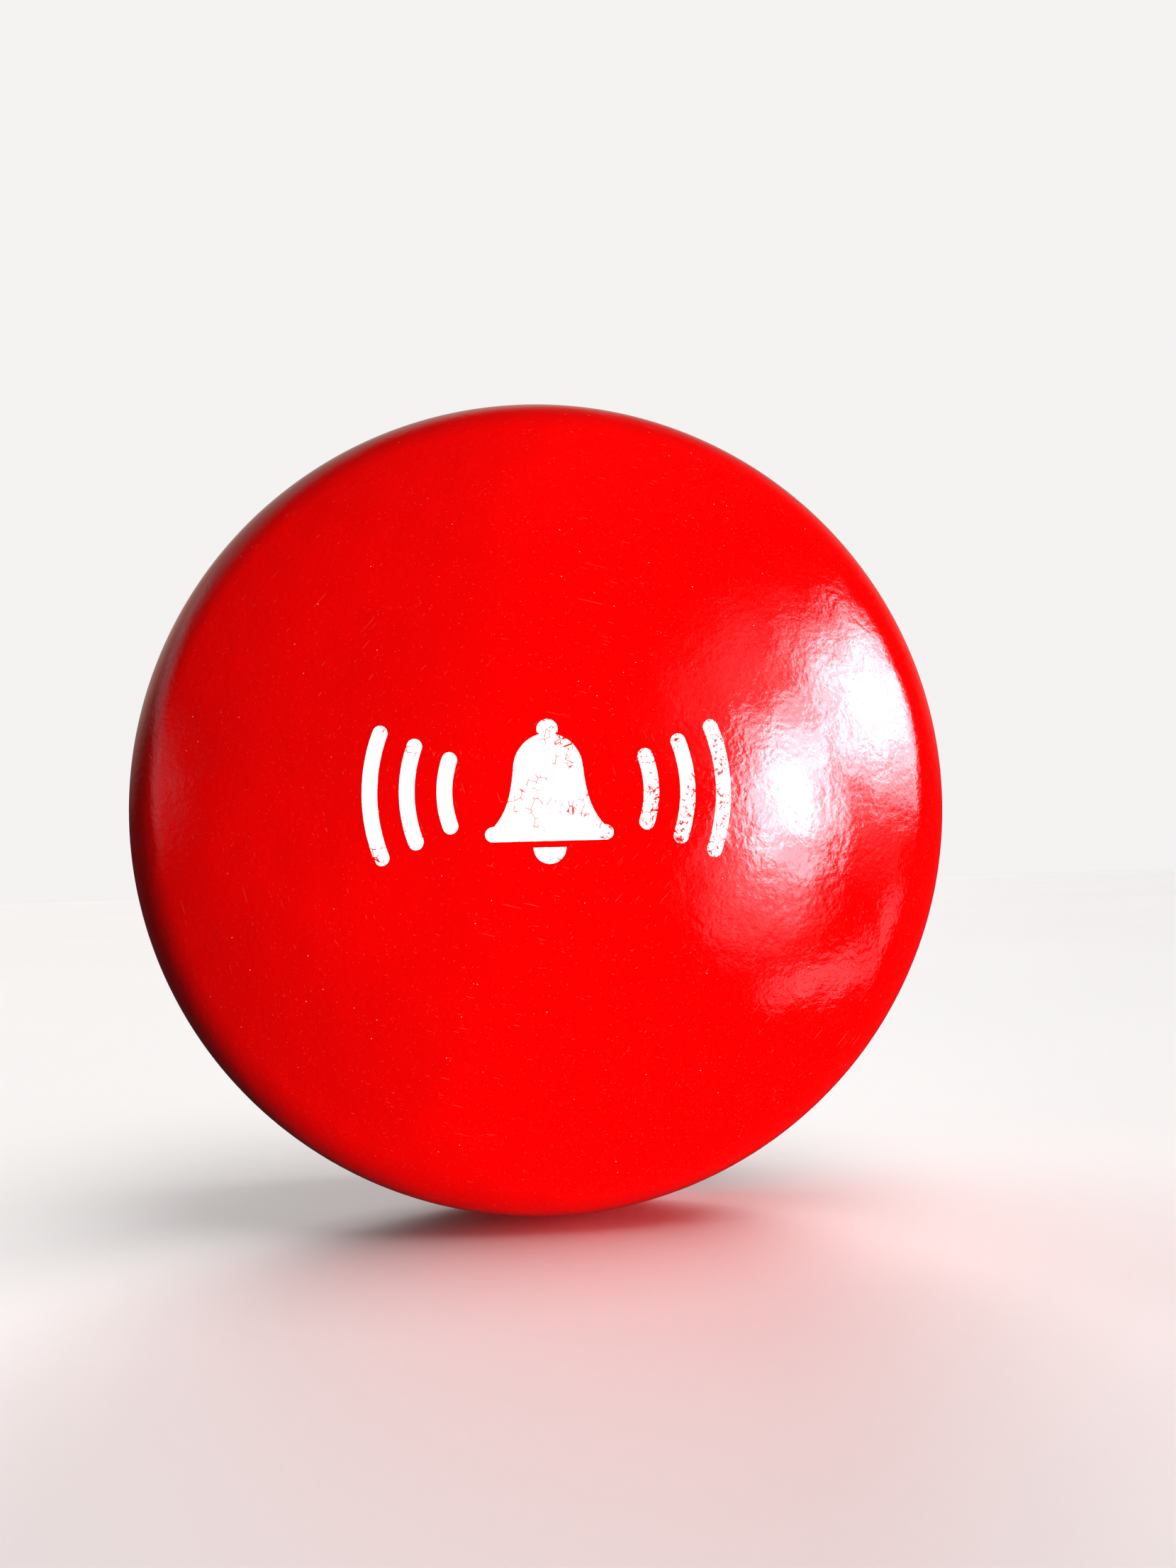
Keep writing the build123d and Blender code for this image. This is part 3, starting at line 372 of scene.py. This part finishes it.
def moulded_plastic(name, colour, roughness, grain=0.02 * MM):
    """Moulded plastic with a spark-eroded grain, faint flow marks and dust."""
    look = Shader(name, colour, roughness)
    flow = look.noise(30.0, 3.0, 0.6, 1.5)
    tone = look.mix(look.step(flow, 0.35, 0.7), colour, shade(colour, 0.82))
    dust = look.specks(500.0, 0.06, 0.2)
    pale = tuple(min(1.0, channel + 0.35) for channel in colour)
    look.colour(look.mix(look.math("MULTIPLY", dust, 0.5), tone, pale))
    look.roughness(look.step(look.noise(90.0, 4.0), 0.3, 0.7, roughness - 0.07, roughness + 0.1))
    look.bump(look.noise(2600.0, 2.0, 0.6), grain)
    look.bump(look.noise(70.0, 2.0), 0.02 * MM)
    return look.material


def zinc_plate(name, colour, tint, roughness):
    """Dull zinc with a passivation tint, rolling marks and scuffs."""
    look = Shader(name, colour, roughness, 0.55)
    clouds = look.noise(24.0, 4.0, 0.6, 0.5)
    tone = look.mix(clouds, colour, tint)
    stains = look.step(look.noise(70.0, 6.0, 0.7), 0.5, 0.75)
    tone = look.mix(look.math("MULTIPLY", stains, 0.25), tone, (0.42, 0.41, 0.38))
    rolling = look.noise(1.0, 3.0, 0.6, at=look.place((30 * MM, 0.3 * MM, 0.3 * MM)))
    tone = look.mix(look.step(rolling, 0.35, 0.65, 0.0, 0.22), tone, (0.45, 0.45, 0.46))
    marks = look.scratches(0.16 * MM, 20 * MM, 0.27, (10, 62, 140))
    look.colour(look.mix(look.math("MULTIPLY", marks, 0.4), tone, (0.85, 0.85, 0.86)))
    look.roughness(look.step(look.noise(110.0, 5.0), 0.3, 0.7, roughness - 0.04, roughness + 0.08))
    look.bump(rolling, 0.01 * MM)
    look.bump(marks, 0.004 * MM)
    return look.material


def turned_steel(name, colour, roughness):
    """Turned or ground steel with fine tool marks across its axis and a trace of oil."""
    look = Shader(name, colour, roughness, 0.8)
    lines = look.noise(1.0, 2.0, 0.6, at=look.place((5 * MM, 0.17 * MM, 5 * MM)))
    oil = look.step(look.noise(180.0, 4.0), 0.45, 0.7)
    look.colour(look.mix(look.math("MULTIPLY", oil, 0.6), colour, shade(colour, 0.72)))
    look.roughness(look.step(look.noise(320.0, 4.0), 0.3, 0.7, roughness - 0.08, roughness + 0.1))
    look.bump(lines, 0.006 * MM)
    return look.material


def rubber(name):
    """Matt black rubber with a patchy pale bloom."""
    look = Shader(name, (0.028, 0.028, 0.03), 0.72)
    bloom = look.step(look.noise(120.0, 5.0, 0.65), 0.45, 0.75)
    look.colour(look.mix(look.math("MULTIPLY", bloom, 0.5), (0.022, 0.022, 0.024), (0.075, 0.075, 0.078)))
    look.roughness(look.step(look.noise(300.0), 0.3, 0.7, 0.62, 0.85))
    look.bump(look.noise(1800.0, 3.0, 0.6), 0.02 * MM)
    return look.material


def soft_metal(name, colour, tarnish, roughness, grain=900.0):
    """Brass, bronze or copper with patches of tarnish."""
    look = Shader(name, colour, roughness, 1.0)
    dull = look.step(look.noise(260.0, 6.0, 0.65), 0.45, 0.75)
    look.colour(look.mix(look.math("MULTIPLY", dull, 0.7), colour, tarnish))
    look.roughness(look.step(look.noise(grain, 4.0), 0.3, 0.7, roughness - 0.07, roughness + 0.16))
    look.bump(look.noise(grain * 2.5, 3.0), 0.006 * MM)
    return look.material


def laminated_steel(name):
    """Stacked laminations, edge on, with an insulating film between the sheets."""
    look = Shader(name, (0.36, 0.36, 0.38), 0.45, 0.85)
    sheet = 0.5 * MM
    along = look.math("FRACT", look.math("DIVIDE", look.axis("Y"), sheet))
    joint = look.step(look.math("ABSOLUTE", look.math("SUBTRACT", along, 0.5)), 0.38, 0.48)
    look.colour(look.mix(joint, (0.42, 0.42, 0.44), (0.06, 0.05, 0.05)))
    look.bump(look.math("SUBTRACT", 1.0, joint), 0.05 * MM)
    return look.material


def ferrite(name):
    """Sintered magnet: dark grey and grainy."""
    look = Shader(name, (0.06, 0.06, 0.065), 0.6)
    look.colour(look.mix(look.noise(700.0, 5.0, 0.7), (0.04, 0.04, 0.045), (0.12, 0.12, 0.125)))
    look.bump(look.noise(1600.0, 4.0, 0.7), 0.03 * MM)
    return look.material


def solder_mask(name):
    """Green solder mask over copper: pale where tracks run below it."""
    look = Shader(name, (0.02, 0.16, 0.06), 0.3)
    look.bsdf.inputs["Coat Weight"].default_value = 0.4
    tracks = 0.0
    long_tracks, upright_tracks = (0.9, 0.34), (0.37, 0.8)
    for width, height in (long_tracks, upright_tracks):
        grid = look.tree.nodes.new("ShaderNodeTexBrick")
        grid.inputs["Scale"].default_value = 110.0
        grid.inputs["Mortar Size"].default_value = 0.035
        grid.inputs["Brick Width"].default_value = width
        grid.inputs["Row Height"].default_value = height
        look.link(look.place(turn=(90, 0, 0), shift=(width, 0, height)), grid.inputs["Vector"])
        elsewhere = look.place(shift=(width, 0, height))
        kept = look.step(look.noise(170.0, 0.0, at=elsewhere), 0.5, 0.51)
        tracks = look.math("MAXIMUM", tracks, look.math("MULTIPLY", grid.outputs["Fac"], kept))
    look.colour(look.mix(tracks, (0.012, 0.11, 0.04), (0.03, 0.22, 0.08)))
    look.bump(tracks, 0.03 * MM)
    look.bump(look.noise(1400.0, 2.0), 0.006 * MM)
    return look.material


# The diode lies along X: its cathode band and its body's ends, from its middle.
BAND_OFFSET = 1.6 * MM
BAND_HALF_WIDTH = 0.45 * MM
DIODE_HALF_LENGTH = 2.6 * MM
SOFT_EDGE = 0.05 * MM


def banded_diode(name):
    """Black epoxy with a silver cathode band near one end and tinned leads."""
    look = Shader(name, (0.02, 0.02, 0.022), 0.35)
    low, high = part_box("polarity_diode")
    middle = (low.x + high.x) / 2
    from_middle = look.math("SUBTRACT", look.axis("X"), middle)
    from_band = look.math("ABSOLUTE", look.math("SUBTRACT", from_middle, BAND_OFFSET))
    band = look.step(from_band, BAND_HALF_WIDTH, BAND_HALF_WIDTH - SOFT_EDGE)
    out = look.math("ABSOLUTE", from_middle)
    lead = look.step(out, DIODE_HALF_LENGTH, DIODE_HALF_LENGTH + SOFT_EDGE)
    epoxy = look.mix(look.noise(900.0), (0.018, 0.018, 0.02), (0.04, 0.04, 0.042))
    look.colour(look.mix(lead, look.mix(band, epoxy, (0.6, 0.6, 0.6)), (0.7, 0.7, 0.7)))
    look.bump(look.noise(1500.0), 0.01 * MM)
    return look.material


def enamelled_wire(name):
    """Copper wire under a clear enamel."""
    look = Shader(name, (0.42, 0.13, 0.04), 0.28, 0.75)
    look.bsdf.inputs["Coat Weight"].default_value = 0.8
    look.colour(look.mix(look.noise(400.0, 4.0), (0.50, 0.17, 0.05), (0.30, 0.08, 0.03)))
    look.bump(look.noise(3000.0, 2.0), 0.01 * MM)
    return look.material


RED = (0.64, 0.0, 0.0)
ORANGE_PEEL = 0.045 * MM

# Each slot: how it is made, and the values that the maker takes after the name.
RECIPES = {
    "red_paint": (gloss_red_paint, RED, ORANGE_PEEL),
    "white_ink": (white_ink, RED),
    "red_plastic": (moulded_plastic, (0.50, 0.006, 0.006), 0.42),
    "zinc_steel": (zinc_plate, (0.66, 0.67, 0.68), (0.70, 0.685, 0.63), 0.3),
    "plain_steel": (turned_steel, (0.56, 0.56, 0.57), 0.32),
    "hardened_steel": (turned_steel, (0.36, 0.36, 0.38), 0.26),
    "black_rubber": (rubber,),
    "black_plastic": (moulded_plastic, (0.03, 0.03, 0.032), 0.48),
    "white_plastic": (moulded_plastic, (0.78, 0.75, 0.66), 0.4, 0.01 * MM),
    "bronze": (soft_metal, (0.52, 0.36, 0.18), (0.25, 0.17, 0.09), 0.42, 2400.0),
    "brass": (soft_metal, (0.80, 0.58, 0.26), (0.45, 0.30, 0.13), 0.28),
    "copper": (soft_metal, (0.80, 0.38, 0.22), (0.35, 0.16, 0.10), 0.3),
    "enamelled_copper": (enamelled_wire,),
    "ferrite": (ferrite,),
    "electrical_steel": (laminated_steel,),
    "board_green": (solder_mask,),
    "terminal_green": (moulded_plastic, (0.02, 0.30, 0.10), 0.4, 0.008 * MM),
    "capacitor_yellow": (moulded_plastic, (0.72, 0.46, 0.03), 0.35, 0.008 * MM),
    "diode_black": (banded_diode,),
    "lead_red": (moulded_plastic, (0.55, 0.012, 0.012), 0.38, 0.004 * MM),
    "lead_black": (moulded_plastic, (0.022, 0.022, 0.024), 0.38, 0.004 * MM),
}
MATERIALS = {name: maker(name, *values) for name, (maker, *values) in RECIPES.items()}


def dress_cad_nodes():
    """Gives every CAD node the material of its slot."""
    for part in frame["record"]["subparts"]:
        node = frame["nodes"][part["node"]]
        for slot in node.material_slots:
            slot.material = MATERIALS[part["material_slot"]]


# --- mesh pieces ----------------------------------------------------------------------------------


def new_piece(name, mesh, material, body):
    """A named piece that rides on a body, takes its finish from a slot and is smooth but at edges."""
    mesh.validate()
    mesh.shade_smooth()
    mesh.set_sharp_from_angle(angle=SHARP_EDGE)
    piece = bpy.data.objects.new(name, mesh)
    bpy.context.scene.collection.objects.link(piece)
    mesh.materials.append(material)
    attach(piece, body)
    return piece


def lathe(name, outline, segments):
    """A mesh turned about the bell's axis from (radius, distance from the wall) points.

    The outline starts and ends on the axis, where the mesh closes in a single point.
    """
    made = bmesh.new()
    turns = [2 * math.pi * i / segments for i in range(segments)]
    rings = []
    for radius, out in outline:
        if radius == 0:
            points = [(0, -out, 0)]
        else:
            points = [(radius * math.cos(turn), -out, radius * math.sin(turn)) for turn in turns]
        rings.append([made.verts.new(point) for point in points])
    for near, far in zip(rings, rings[1:]):
        for i in range(segments):
            j = (i + 1) % segments
            near_side = [near[i % len(near)], near[j % len(near)]]
            far_side = [far[j % len(far)], far[i % len(far)]]
            made.faces.new(list(dict.fromkeys(near_side + far_side)))
    bmesh.ops.recalc_face_normals(made, faces=made.faces)
    mesh = bpy.data.meshes.new(name)
    made.to_mesh(mesh)
    made.free()
    return mesh


def arc(centre, radius, start, end, count):
    """Points of an arc, with angles measured from the bell's axis."""
    points = []
    for i in range(count):
        angle = start + (end - start) * i / (count - 1)
        points.append((centre[0] + radius * math.sin(angle), centre[1] + radius * math.cos(angle)))
    return points


def between(start, end, share):
    """The point that share of the way from start to end."""
    return tuple(a + (b - a) * share for a, b in zip(start, end))


def gong_outline():
    """The gong's outline from the dome's middle, round the rim and back inside."""
    skirt_angle = math.pi / 2 - SKIRT_FLARE
    dome_centre = (0, dome_z)
    shoulder_centre = (shoulder_x, shoulder_z)
    outer = arc(dome_centre, dome_radius, 0, DOME_EDGE_SLOPE, DOME_STEPS)
    outer[0] = (0, outer[0][1])
    outer += arc(shoulder_centre, SHOULDER_RADIUS, DOME_EDGE_SLOPE, skirt_angle, SHOULDER_STEPS)[1:]
    inner_radius = SHOULDER_RADIUS - GONG_WALL
    inner = arc(shoulder_centre, inner_radius, skirt_angle, DOME_EDGE_SLOPE, SHOULDER_STEPS_INSIDE)
    inner += arc(dome_centre, dome_radius - GONG_WALL, DOME_EDGE_SLOPE, 0, DOME_STEPS_INSIDE)[1:]
    inner[-1] = (0, inner[-1][1])
    rim_out = -RIM_Y
    outside = (GONG_RADIUS - RIM_ROUND, rim_out + RIM_ROUND)
    inside = (GONG_RADIUS - GONG_WALL / math.cos(SKIRT_FLARE) + RIM_ROUND, rim_out + RIM_ROUND)
    rim = arc(outside, RIM_ROUND, skirt_angle, math.pi, RIM_STEPS)
    rim += arc(inside, RIM_ROUND, math.pi, 1.5 * math.pi, RIM_STEPS)
    skirt = [between(outer[-1], rim[0], i / SKIRT_STEPS) for i in range(1, SKIRT_STEPS)]
    return outer + skirt + rim + inner


def waviness(point):
    """The slight unevenness of a pressed sheet, in metres and never negative."""
    return abs(sum(height * noise.noise(point / width) for height, width in SHEET_WAVES))


def make_gong():
    """The gong as a fine mesh with the faint waviness of pressed sheet.

    Both faces move together, toward the wall on the dome and toward the axis on the skirt.
    """
    mesh = lathe("gong_shell", gong_outline(), GONG_SEGMENTS)
    for vertex in mesh.vertices:
        x, y, z = vertex.co
        push = waviness(vertex.co)
        radial = math.hypot(x, z)
        inward = min(1, max(0, (radial - dome_edge_x) / (skirt_top_x - dome_edge_x)))
        scale = 1 - push * inward / radial if radial else 1
        vertex.co = (x * scale, y + push * (1 - inward), z * scale)
    piece = new_piece("gong_shell", mesh, MATERIALS["red_paint"], "base")
    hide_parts("gong")


def dome_point(u, v, lift):
    """The point of the dome's outside that lies behind u, v millimetres, lifted by that much."""
    x, z = u * MM, v * MM
    out = dome_z + math.sqrt(dome_radius**2 - x * x - z * z)
    normal = Vector((x, -(out - dome_z), z)).normalized()
    return Vector((x, -out, z)) + normal * lift


def ragged(u, v):
    """A point of the print, moved as a worn screen's edge moves it, in millimetres."""
    point = Vector((u, v, 0))
    amount = EDGE_WANDER + EDGE_WANDER_MORE * max(0.0, noise.noise(point * EDGE_PATCH_PITCH))
    fine = point * EDGE_PITCH
    elsewhere = fine + Vector((9, 9, 9))
    return u + amount * noise.noise(fine), v + amount * noise.noise(elsewhere)


def add_ribbon(made, rows):
    """Adds a skin of quads through rows of (u, v) points, laid on the dome."""
    grid = [[made.verts.new(dome_point(*ragged(u, v), PRINT_LIFT)) for u, v in row] for row in rows]
    for low, high in zip(grid, grid[1:]):
        for i in range(len(low) - 1):
            made.faces.new((low[i], low[i + 1], high[i + 1], high[i]))


def bell_half_width(v):
    """Half the width of the bell sign at height v: knob, body and lip."""
    if v > BELL_BODY_TOP:
        knob_middle = BELL_KNOB_TOP - BELL_KNOB_RADIUS
        return math.sqrt(max(BELL_KNOB_RADIUS**2 - (v - knob_middle) ** 2, 0.0))
    if v > BELL_LIP_TOP:
        down = (BELL_BODY_TOP - v) / (BELL_BODY_TOP - BELL_LIP_TOP)
        crown = BELL_CROWN * math.sqrt(1 - (1 - min(down / CROWN_SHARE, 1.0)) ** 2)
        waist = (BELL_WAIST - BELL_CROWN) * down
        flare = (BELL_LIP_HALF_WIDTH - LIP_OVERHANG - BELL_WAIST) * down**FLARE_STEEPNESS
        return max(crown + waist + flare, BELL_KNOB_NECK)
    middle = (BELL_LIP_TOP + BELL_LIP_BOTTOM) / 2
    half = (BELL_LIP_TOP - BELL_LIP_BOTTOM) / 2
    return BELL_LIP_HALF_WIDTH - half + math.sqrt(max(half**2 - (v - middle) ** 2, 0.0))


def rows_from_half_width(heights, half_width, columns):
    """Rows of points across a symmetrical shape, one row for each height."""
    rows = []
    for v in heights:
        half = half_width(v)
        rows.append([(half * (2 * i / columns - 1), v) for i in range(columns + 1)])
    return rows


def add_bell_sign(made):
    """The sign's bell: its knob, body and lip in one ribbon, and the clapper below in another."""
    top, bottom = BELL_KNOB_TOP - ROW_MARGIN, BELL_LIP_BOTTOM + ROW_MARGIN
    heights = [top + (bottom - top) * i / BELL_ROWS for i in range(BELL_ROWS + 1)]
    add_ribbon(made, rows_from_half_width(heights, bell_half_width, BELL_COLUMNS))
    angles = [math.pi / 2 * (1 - i / CLAPPER_ROWS) for i in range(CLAPPER_ROWS)]
    heights = [CLAPPER_TOP - CLAPPER_RADIUS * math.cos(a) for a in angles]

    def clapper(v):
        """Half the width of the clapper at height v."""
        return math.sqrt(max(CLAPPER_RADIUS**2 - (CLAPPER_TOP - v) ** 2, 0.0))

    add_ribbon(made, rows_from_half_width(heights, clapper, CLAPPER_COLUMNS))


def add_wave(made, radius, facing):
    """One sound wave: an arc with round ends, on the right (facing 1) or the left (-1)."""
    length = radius * WAVE_HALF_ANGLE
    rows = []
    for i in range(WAVE_ROWS + 1):
        share = math.sin(math.pi / 2 * (2 * i / WAVE_ROWS - 1))
        along = share * (length - ROW_MARGIN / 2)
        to_end = length - abs(along)
        into_cap = max(WAVE_HALF_WIDTH - to_end, 0.0)
        half = math.sqrt(max(WAVE_HALF_WIDTH**2 - into_cap**2, 0.0))
        angle = along / radius
        row = []
        for j in range(WAVE_COLUMNS + 1):
            r = radius + half * (2 * j / WAVE_COLUMNS - 1)
            row.append((facing * r * math.cos(angle), r * math.sin(angle)))
        rows.append(row if facing > 0 else row[::-1])
    add_ribbon(made, rows)


def make_print():
    """A plain sign of a ringing bell in white ink, with no lettering."""
    made = bmesh.new()
    add_bell_sign(made)
    for radius in WAVE_RADII:
        add_wave(made, radius, 1)
        add_wave(made, radius, -1)
    bmesh.ops.recalc_face_normals(made, faces=made.faces)
    bmesh.ops.solidify(made, geom=made.faces[:], thickness=PRINT_THICKNESS)
    mesh = bpy.data.meshes.new("gong_print")
    made.to_mesh(mesh)
    made.free()
    new_piece("gong_print", mesh, MATERIALS["white_ink"], "base")


# --- making the stage, the light and the camera ---------------------------------------------------


def make_stage():
    """A pale floor under the gong's rim."""
    mesh = bpy.data.meshes.new("floor")
    signs = ((-1, -1), (1, -1), (1, 1), (-1, 1))
    corners = [(x * FLOOR_HALF, y * FLOOR_HALF, GONG_LOW.z) for x, y in signs]
    mesh.from_pydata(corners, [], [(0, 1, 2, 3)])
    look = Shader("pale_floor", (0.74, 0.73, 0.72), 0.5)
    look.colour(look.mix(look.noise(3.0, 3.0), (0.76, 0.75, 0.74), (0.71, 0.70, 0.69)))
    look.bump(look.noise(300.0, 3.0), 0.01 * MM)
    mesh.materials.append(look.material)
    floor = bpy.data.objects.new("floor", mesh)
    floor.visible_glossy = False
    floor.visible_shadow = False
    floor.visible_diffuse = False
    bpy.context.scene.collection.objects.link(floor)
    return floor


def direction(azimuth, elevation):
    """A unit vector from the bell: azimuth 0 points at its front, 90 to the viewer's right."""
    turn, lift = math.radians(azimuth), math.radians(elevation)
    return Vector((math.sin(turn) * math.cos(lift), -math.cos(turn) * math.cos(lift), math.sin(lift)))


def add_sun(name, azimuth, elevation, strength, softness):
    """A distant soft light that a gloss surface doesn't show."""
    lamp = bpy.data.lights.new(name, "SUN")
    lamp.energy = strength
    lamp.angle = math.radians(softness)
    holder = bpy.data.objects.new(name, lamp)
    holder.rotation_euler = (-direction(azimuth, elevation)).to_track_quat("-Z", "Y").to_euler()
    holder.visible_glossy = False
    bpy.context.scene.collection.objects.link(holder)
    return holder


def glow(room, azimuth, elevation, half_width, half_height, lean, softness, unevenness):
    """A soft bright patch of the room, with its angles in degrees: 1 inside, 0 outside.

    A positive lean turns its top to the viewer's right.
    """
    ahead = direction(azimuth, elevation)
    right = direction(azimuth + 90, 0)
    turned = Matrix.Rotation(math.radians(-lean), 3, ahead)
    across, up = turned @ right, turned @ right.cross(ahead)
    x = room.math("DIVIDE", room.along(across), math.sin(math.radians(half_width)))
    y = room.math("DIVIDE", room.along(up), math.sin(math.radians(half_height)))
    far = room.math("SQRT", room.math("ADD", room.math("POWER", x, 2.0), room.math("POWER", y, 2.0)))
    if unevenness:
        curtain = room.noise(1.0, 2.0, at=room.place(CURTAIN_FOLD))
        stray = room.math("MULTIPLY", room.math("SUBTRACT", curtain, 0.5), unevenness)
        far = room.math("ADD", far, stray)
    patch = room.step(far, 1 + softness, 1 - softness)
    return room.math("MULTIPLY", patch, room.math("GREATER_THAN", room.along(ahead), 0.0))


def reflected_room(room):
    """What a gloss surface shows: the brightness of the windows, and that of the walls."""

    def add_patches(patches, total):
        """A total brightness with that of each patch added."""
        for *shape, brightness in patches:
            total = room.math("ADD", total, room.math("MULTIPLY", glow(room, *shape), brightness))
        return total

    folds = room.step(room.noise(30.0, 3.0, 0.6), 0.35, 0.65, DARK_FOLD, BRIGHT_FOLD)
    windows = room.math("MULTIPLY", add_patches(WINDOW_PATCHES + LEFT_PATCHES, DIM_ROOM), folds)
    above_table = room.step(room.along(Vector((0, 0, 1))), *ABOVE_TABLE)
    behind_bell = room.step(room.along(Vector((0, 1, 0))), *BEHIND_BELL)
    far_wall = room.math("MULTIPLY", room.math("MULTIPLY", behind_bell, above_table), FAR_WALL)
    return windows, room.math("ADD", add_patches(WALL_PATCHES, 0.0), far_wall)


def background(room, colour, strength):
    """Light from all round, of a plain or a varying strength."""
    node = room.tree.nodes.new("ShaderNodeBackground")
    room.feed(colour, node.inputs["Color"])
    room.feed(strength, node.inputs["Strength"])
    return node.outputs[0]


def choose(room, ray, otherwise, when):
    """One shader for that kind of ray, and another for the rest."""
    path = room.tree.nodes.new("ShaderNodeLightPath")
    node = room.tree.nodes.new("ShaderNodeMixShader")
    room.link(path.outputs[ray], node.inputs[0])
    room.link(otherwise, node.inputs[1])
    room.link(when, node.inputs[2])
    return node.outputs[0]


def make_room():
    """The world: a pale backdrop for the camera, even soft light, and a room for gloss to show."""
    world = bpy.data.worlds.new("room")
    world.use_nodes = True
    room = Nodes(world.node_tree, "Generated")
    windows, walls = reflected_room(room)
    reflected = room.tree.nodes.new("ShaderNodeAddShader")
    room.link(background(room, WINDOW_COLOUR, windows), reflected.inputs[0])
    room.link(background(room, WALL_COLOUR, walls), reflected.inputs[1])
    even = background(room, EVEN_COLOUR, EVEN_LIGHT)
    lit = choose(room, "Is Glossy Ray", even, reflected.outputs[0])
    backdrop = background(room, BACKDROP_COLOUR, BACKDROP)
    output = room.tree.nodes.new("ShaderNodeOutputWorld")
    room.link(choose(room, "Is Camera Ray", lit, backdrop), output.inputs["Surface"])
    bpy.context.scene.world = world


def make_lights(floor):
    """A strong soft key, weaker lights above, behind and to the left, and one for the floor only."""
    for name, sun in SUNS.items():
        add_sun(name, *sun)
    floor_light = add_sun("floor_light", *FLOOR_SUN)
    lit = bpy.data.collections.new("floor_only")
    lit.objects.link(floor)
    floor_light.light_linking.receiver_collection = lit


def make_camera():
    """The camera close in front of the gong, a little left of its axis and below it."""
    lens = bpy.data.cameras.new("camera")
    lens.sensor_fit = "HORIZONTAL"
    lens.sensor_width = SENSOR
    lens.lens = LENS
    lens.clip_start = 5 * MM
    camera = bpy.data.objects.new("camera", lens)
    level = Euler((math.pi / 2 + CAMERA_PITCH, 0, CAMERA_YAW)).to_matrix().to_4x4()
    roll = Matrix.Rotation(CAMERA_ROLL, 4, "Z")
    place = Vector((-CAMERA_LEFT, GONG_LOW.y - CAMERA_IN_FRONT, -CAMERA_BELOW))
    camera.matrix_world = Matrix.Translation(place) @ level @ roll
    bpy.context.scene.collection.objects.link(camera)
    bpy.context.scene.camera = camera


dress_cad_nodes()
make_camera()
make_gong()
make_print()
make_room()
make_lights(make_stage())
bpy.context.scene.view_settings.view_transform = "Standard"
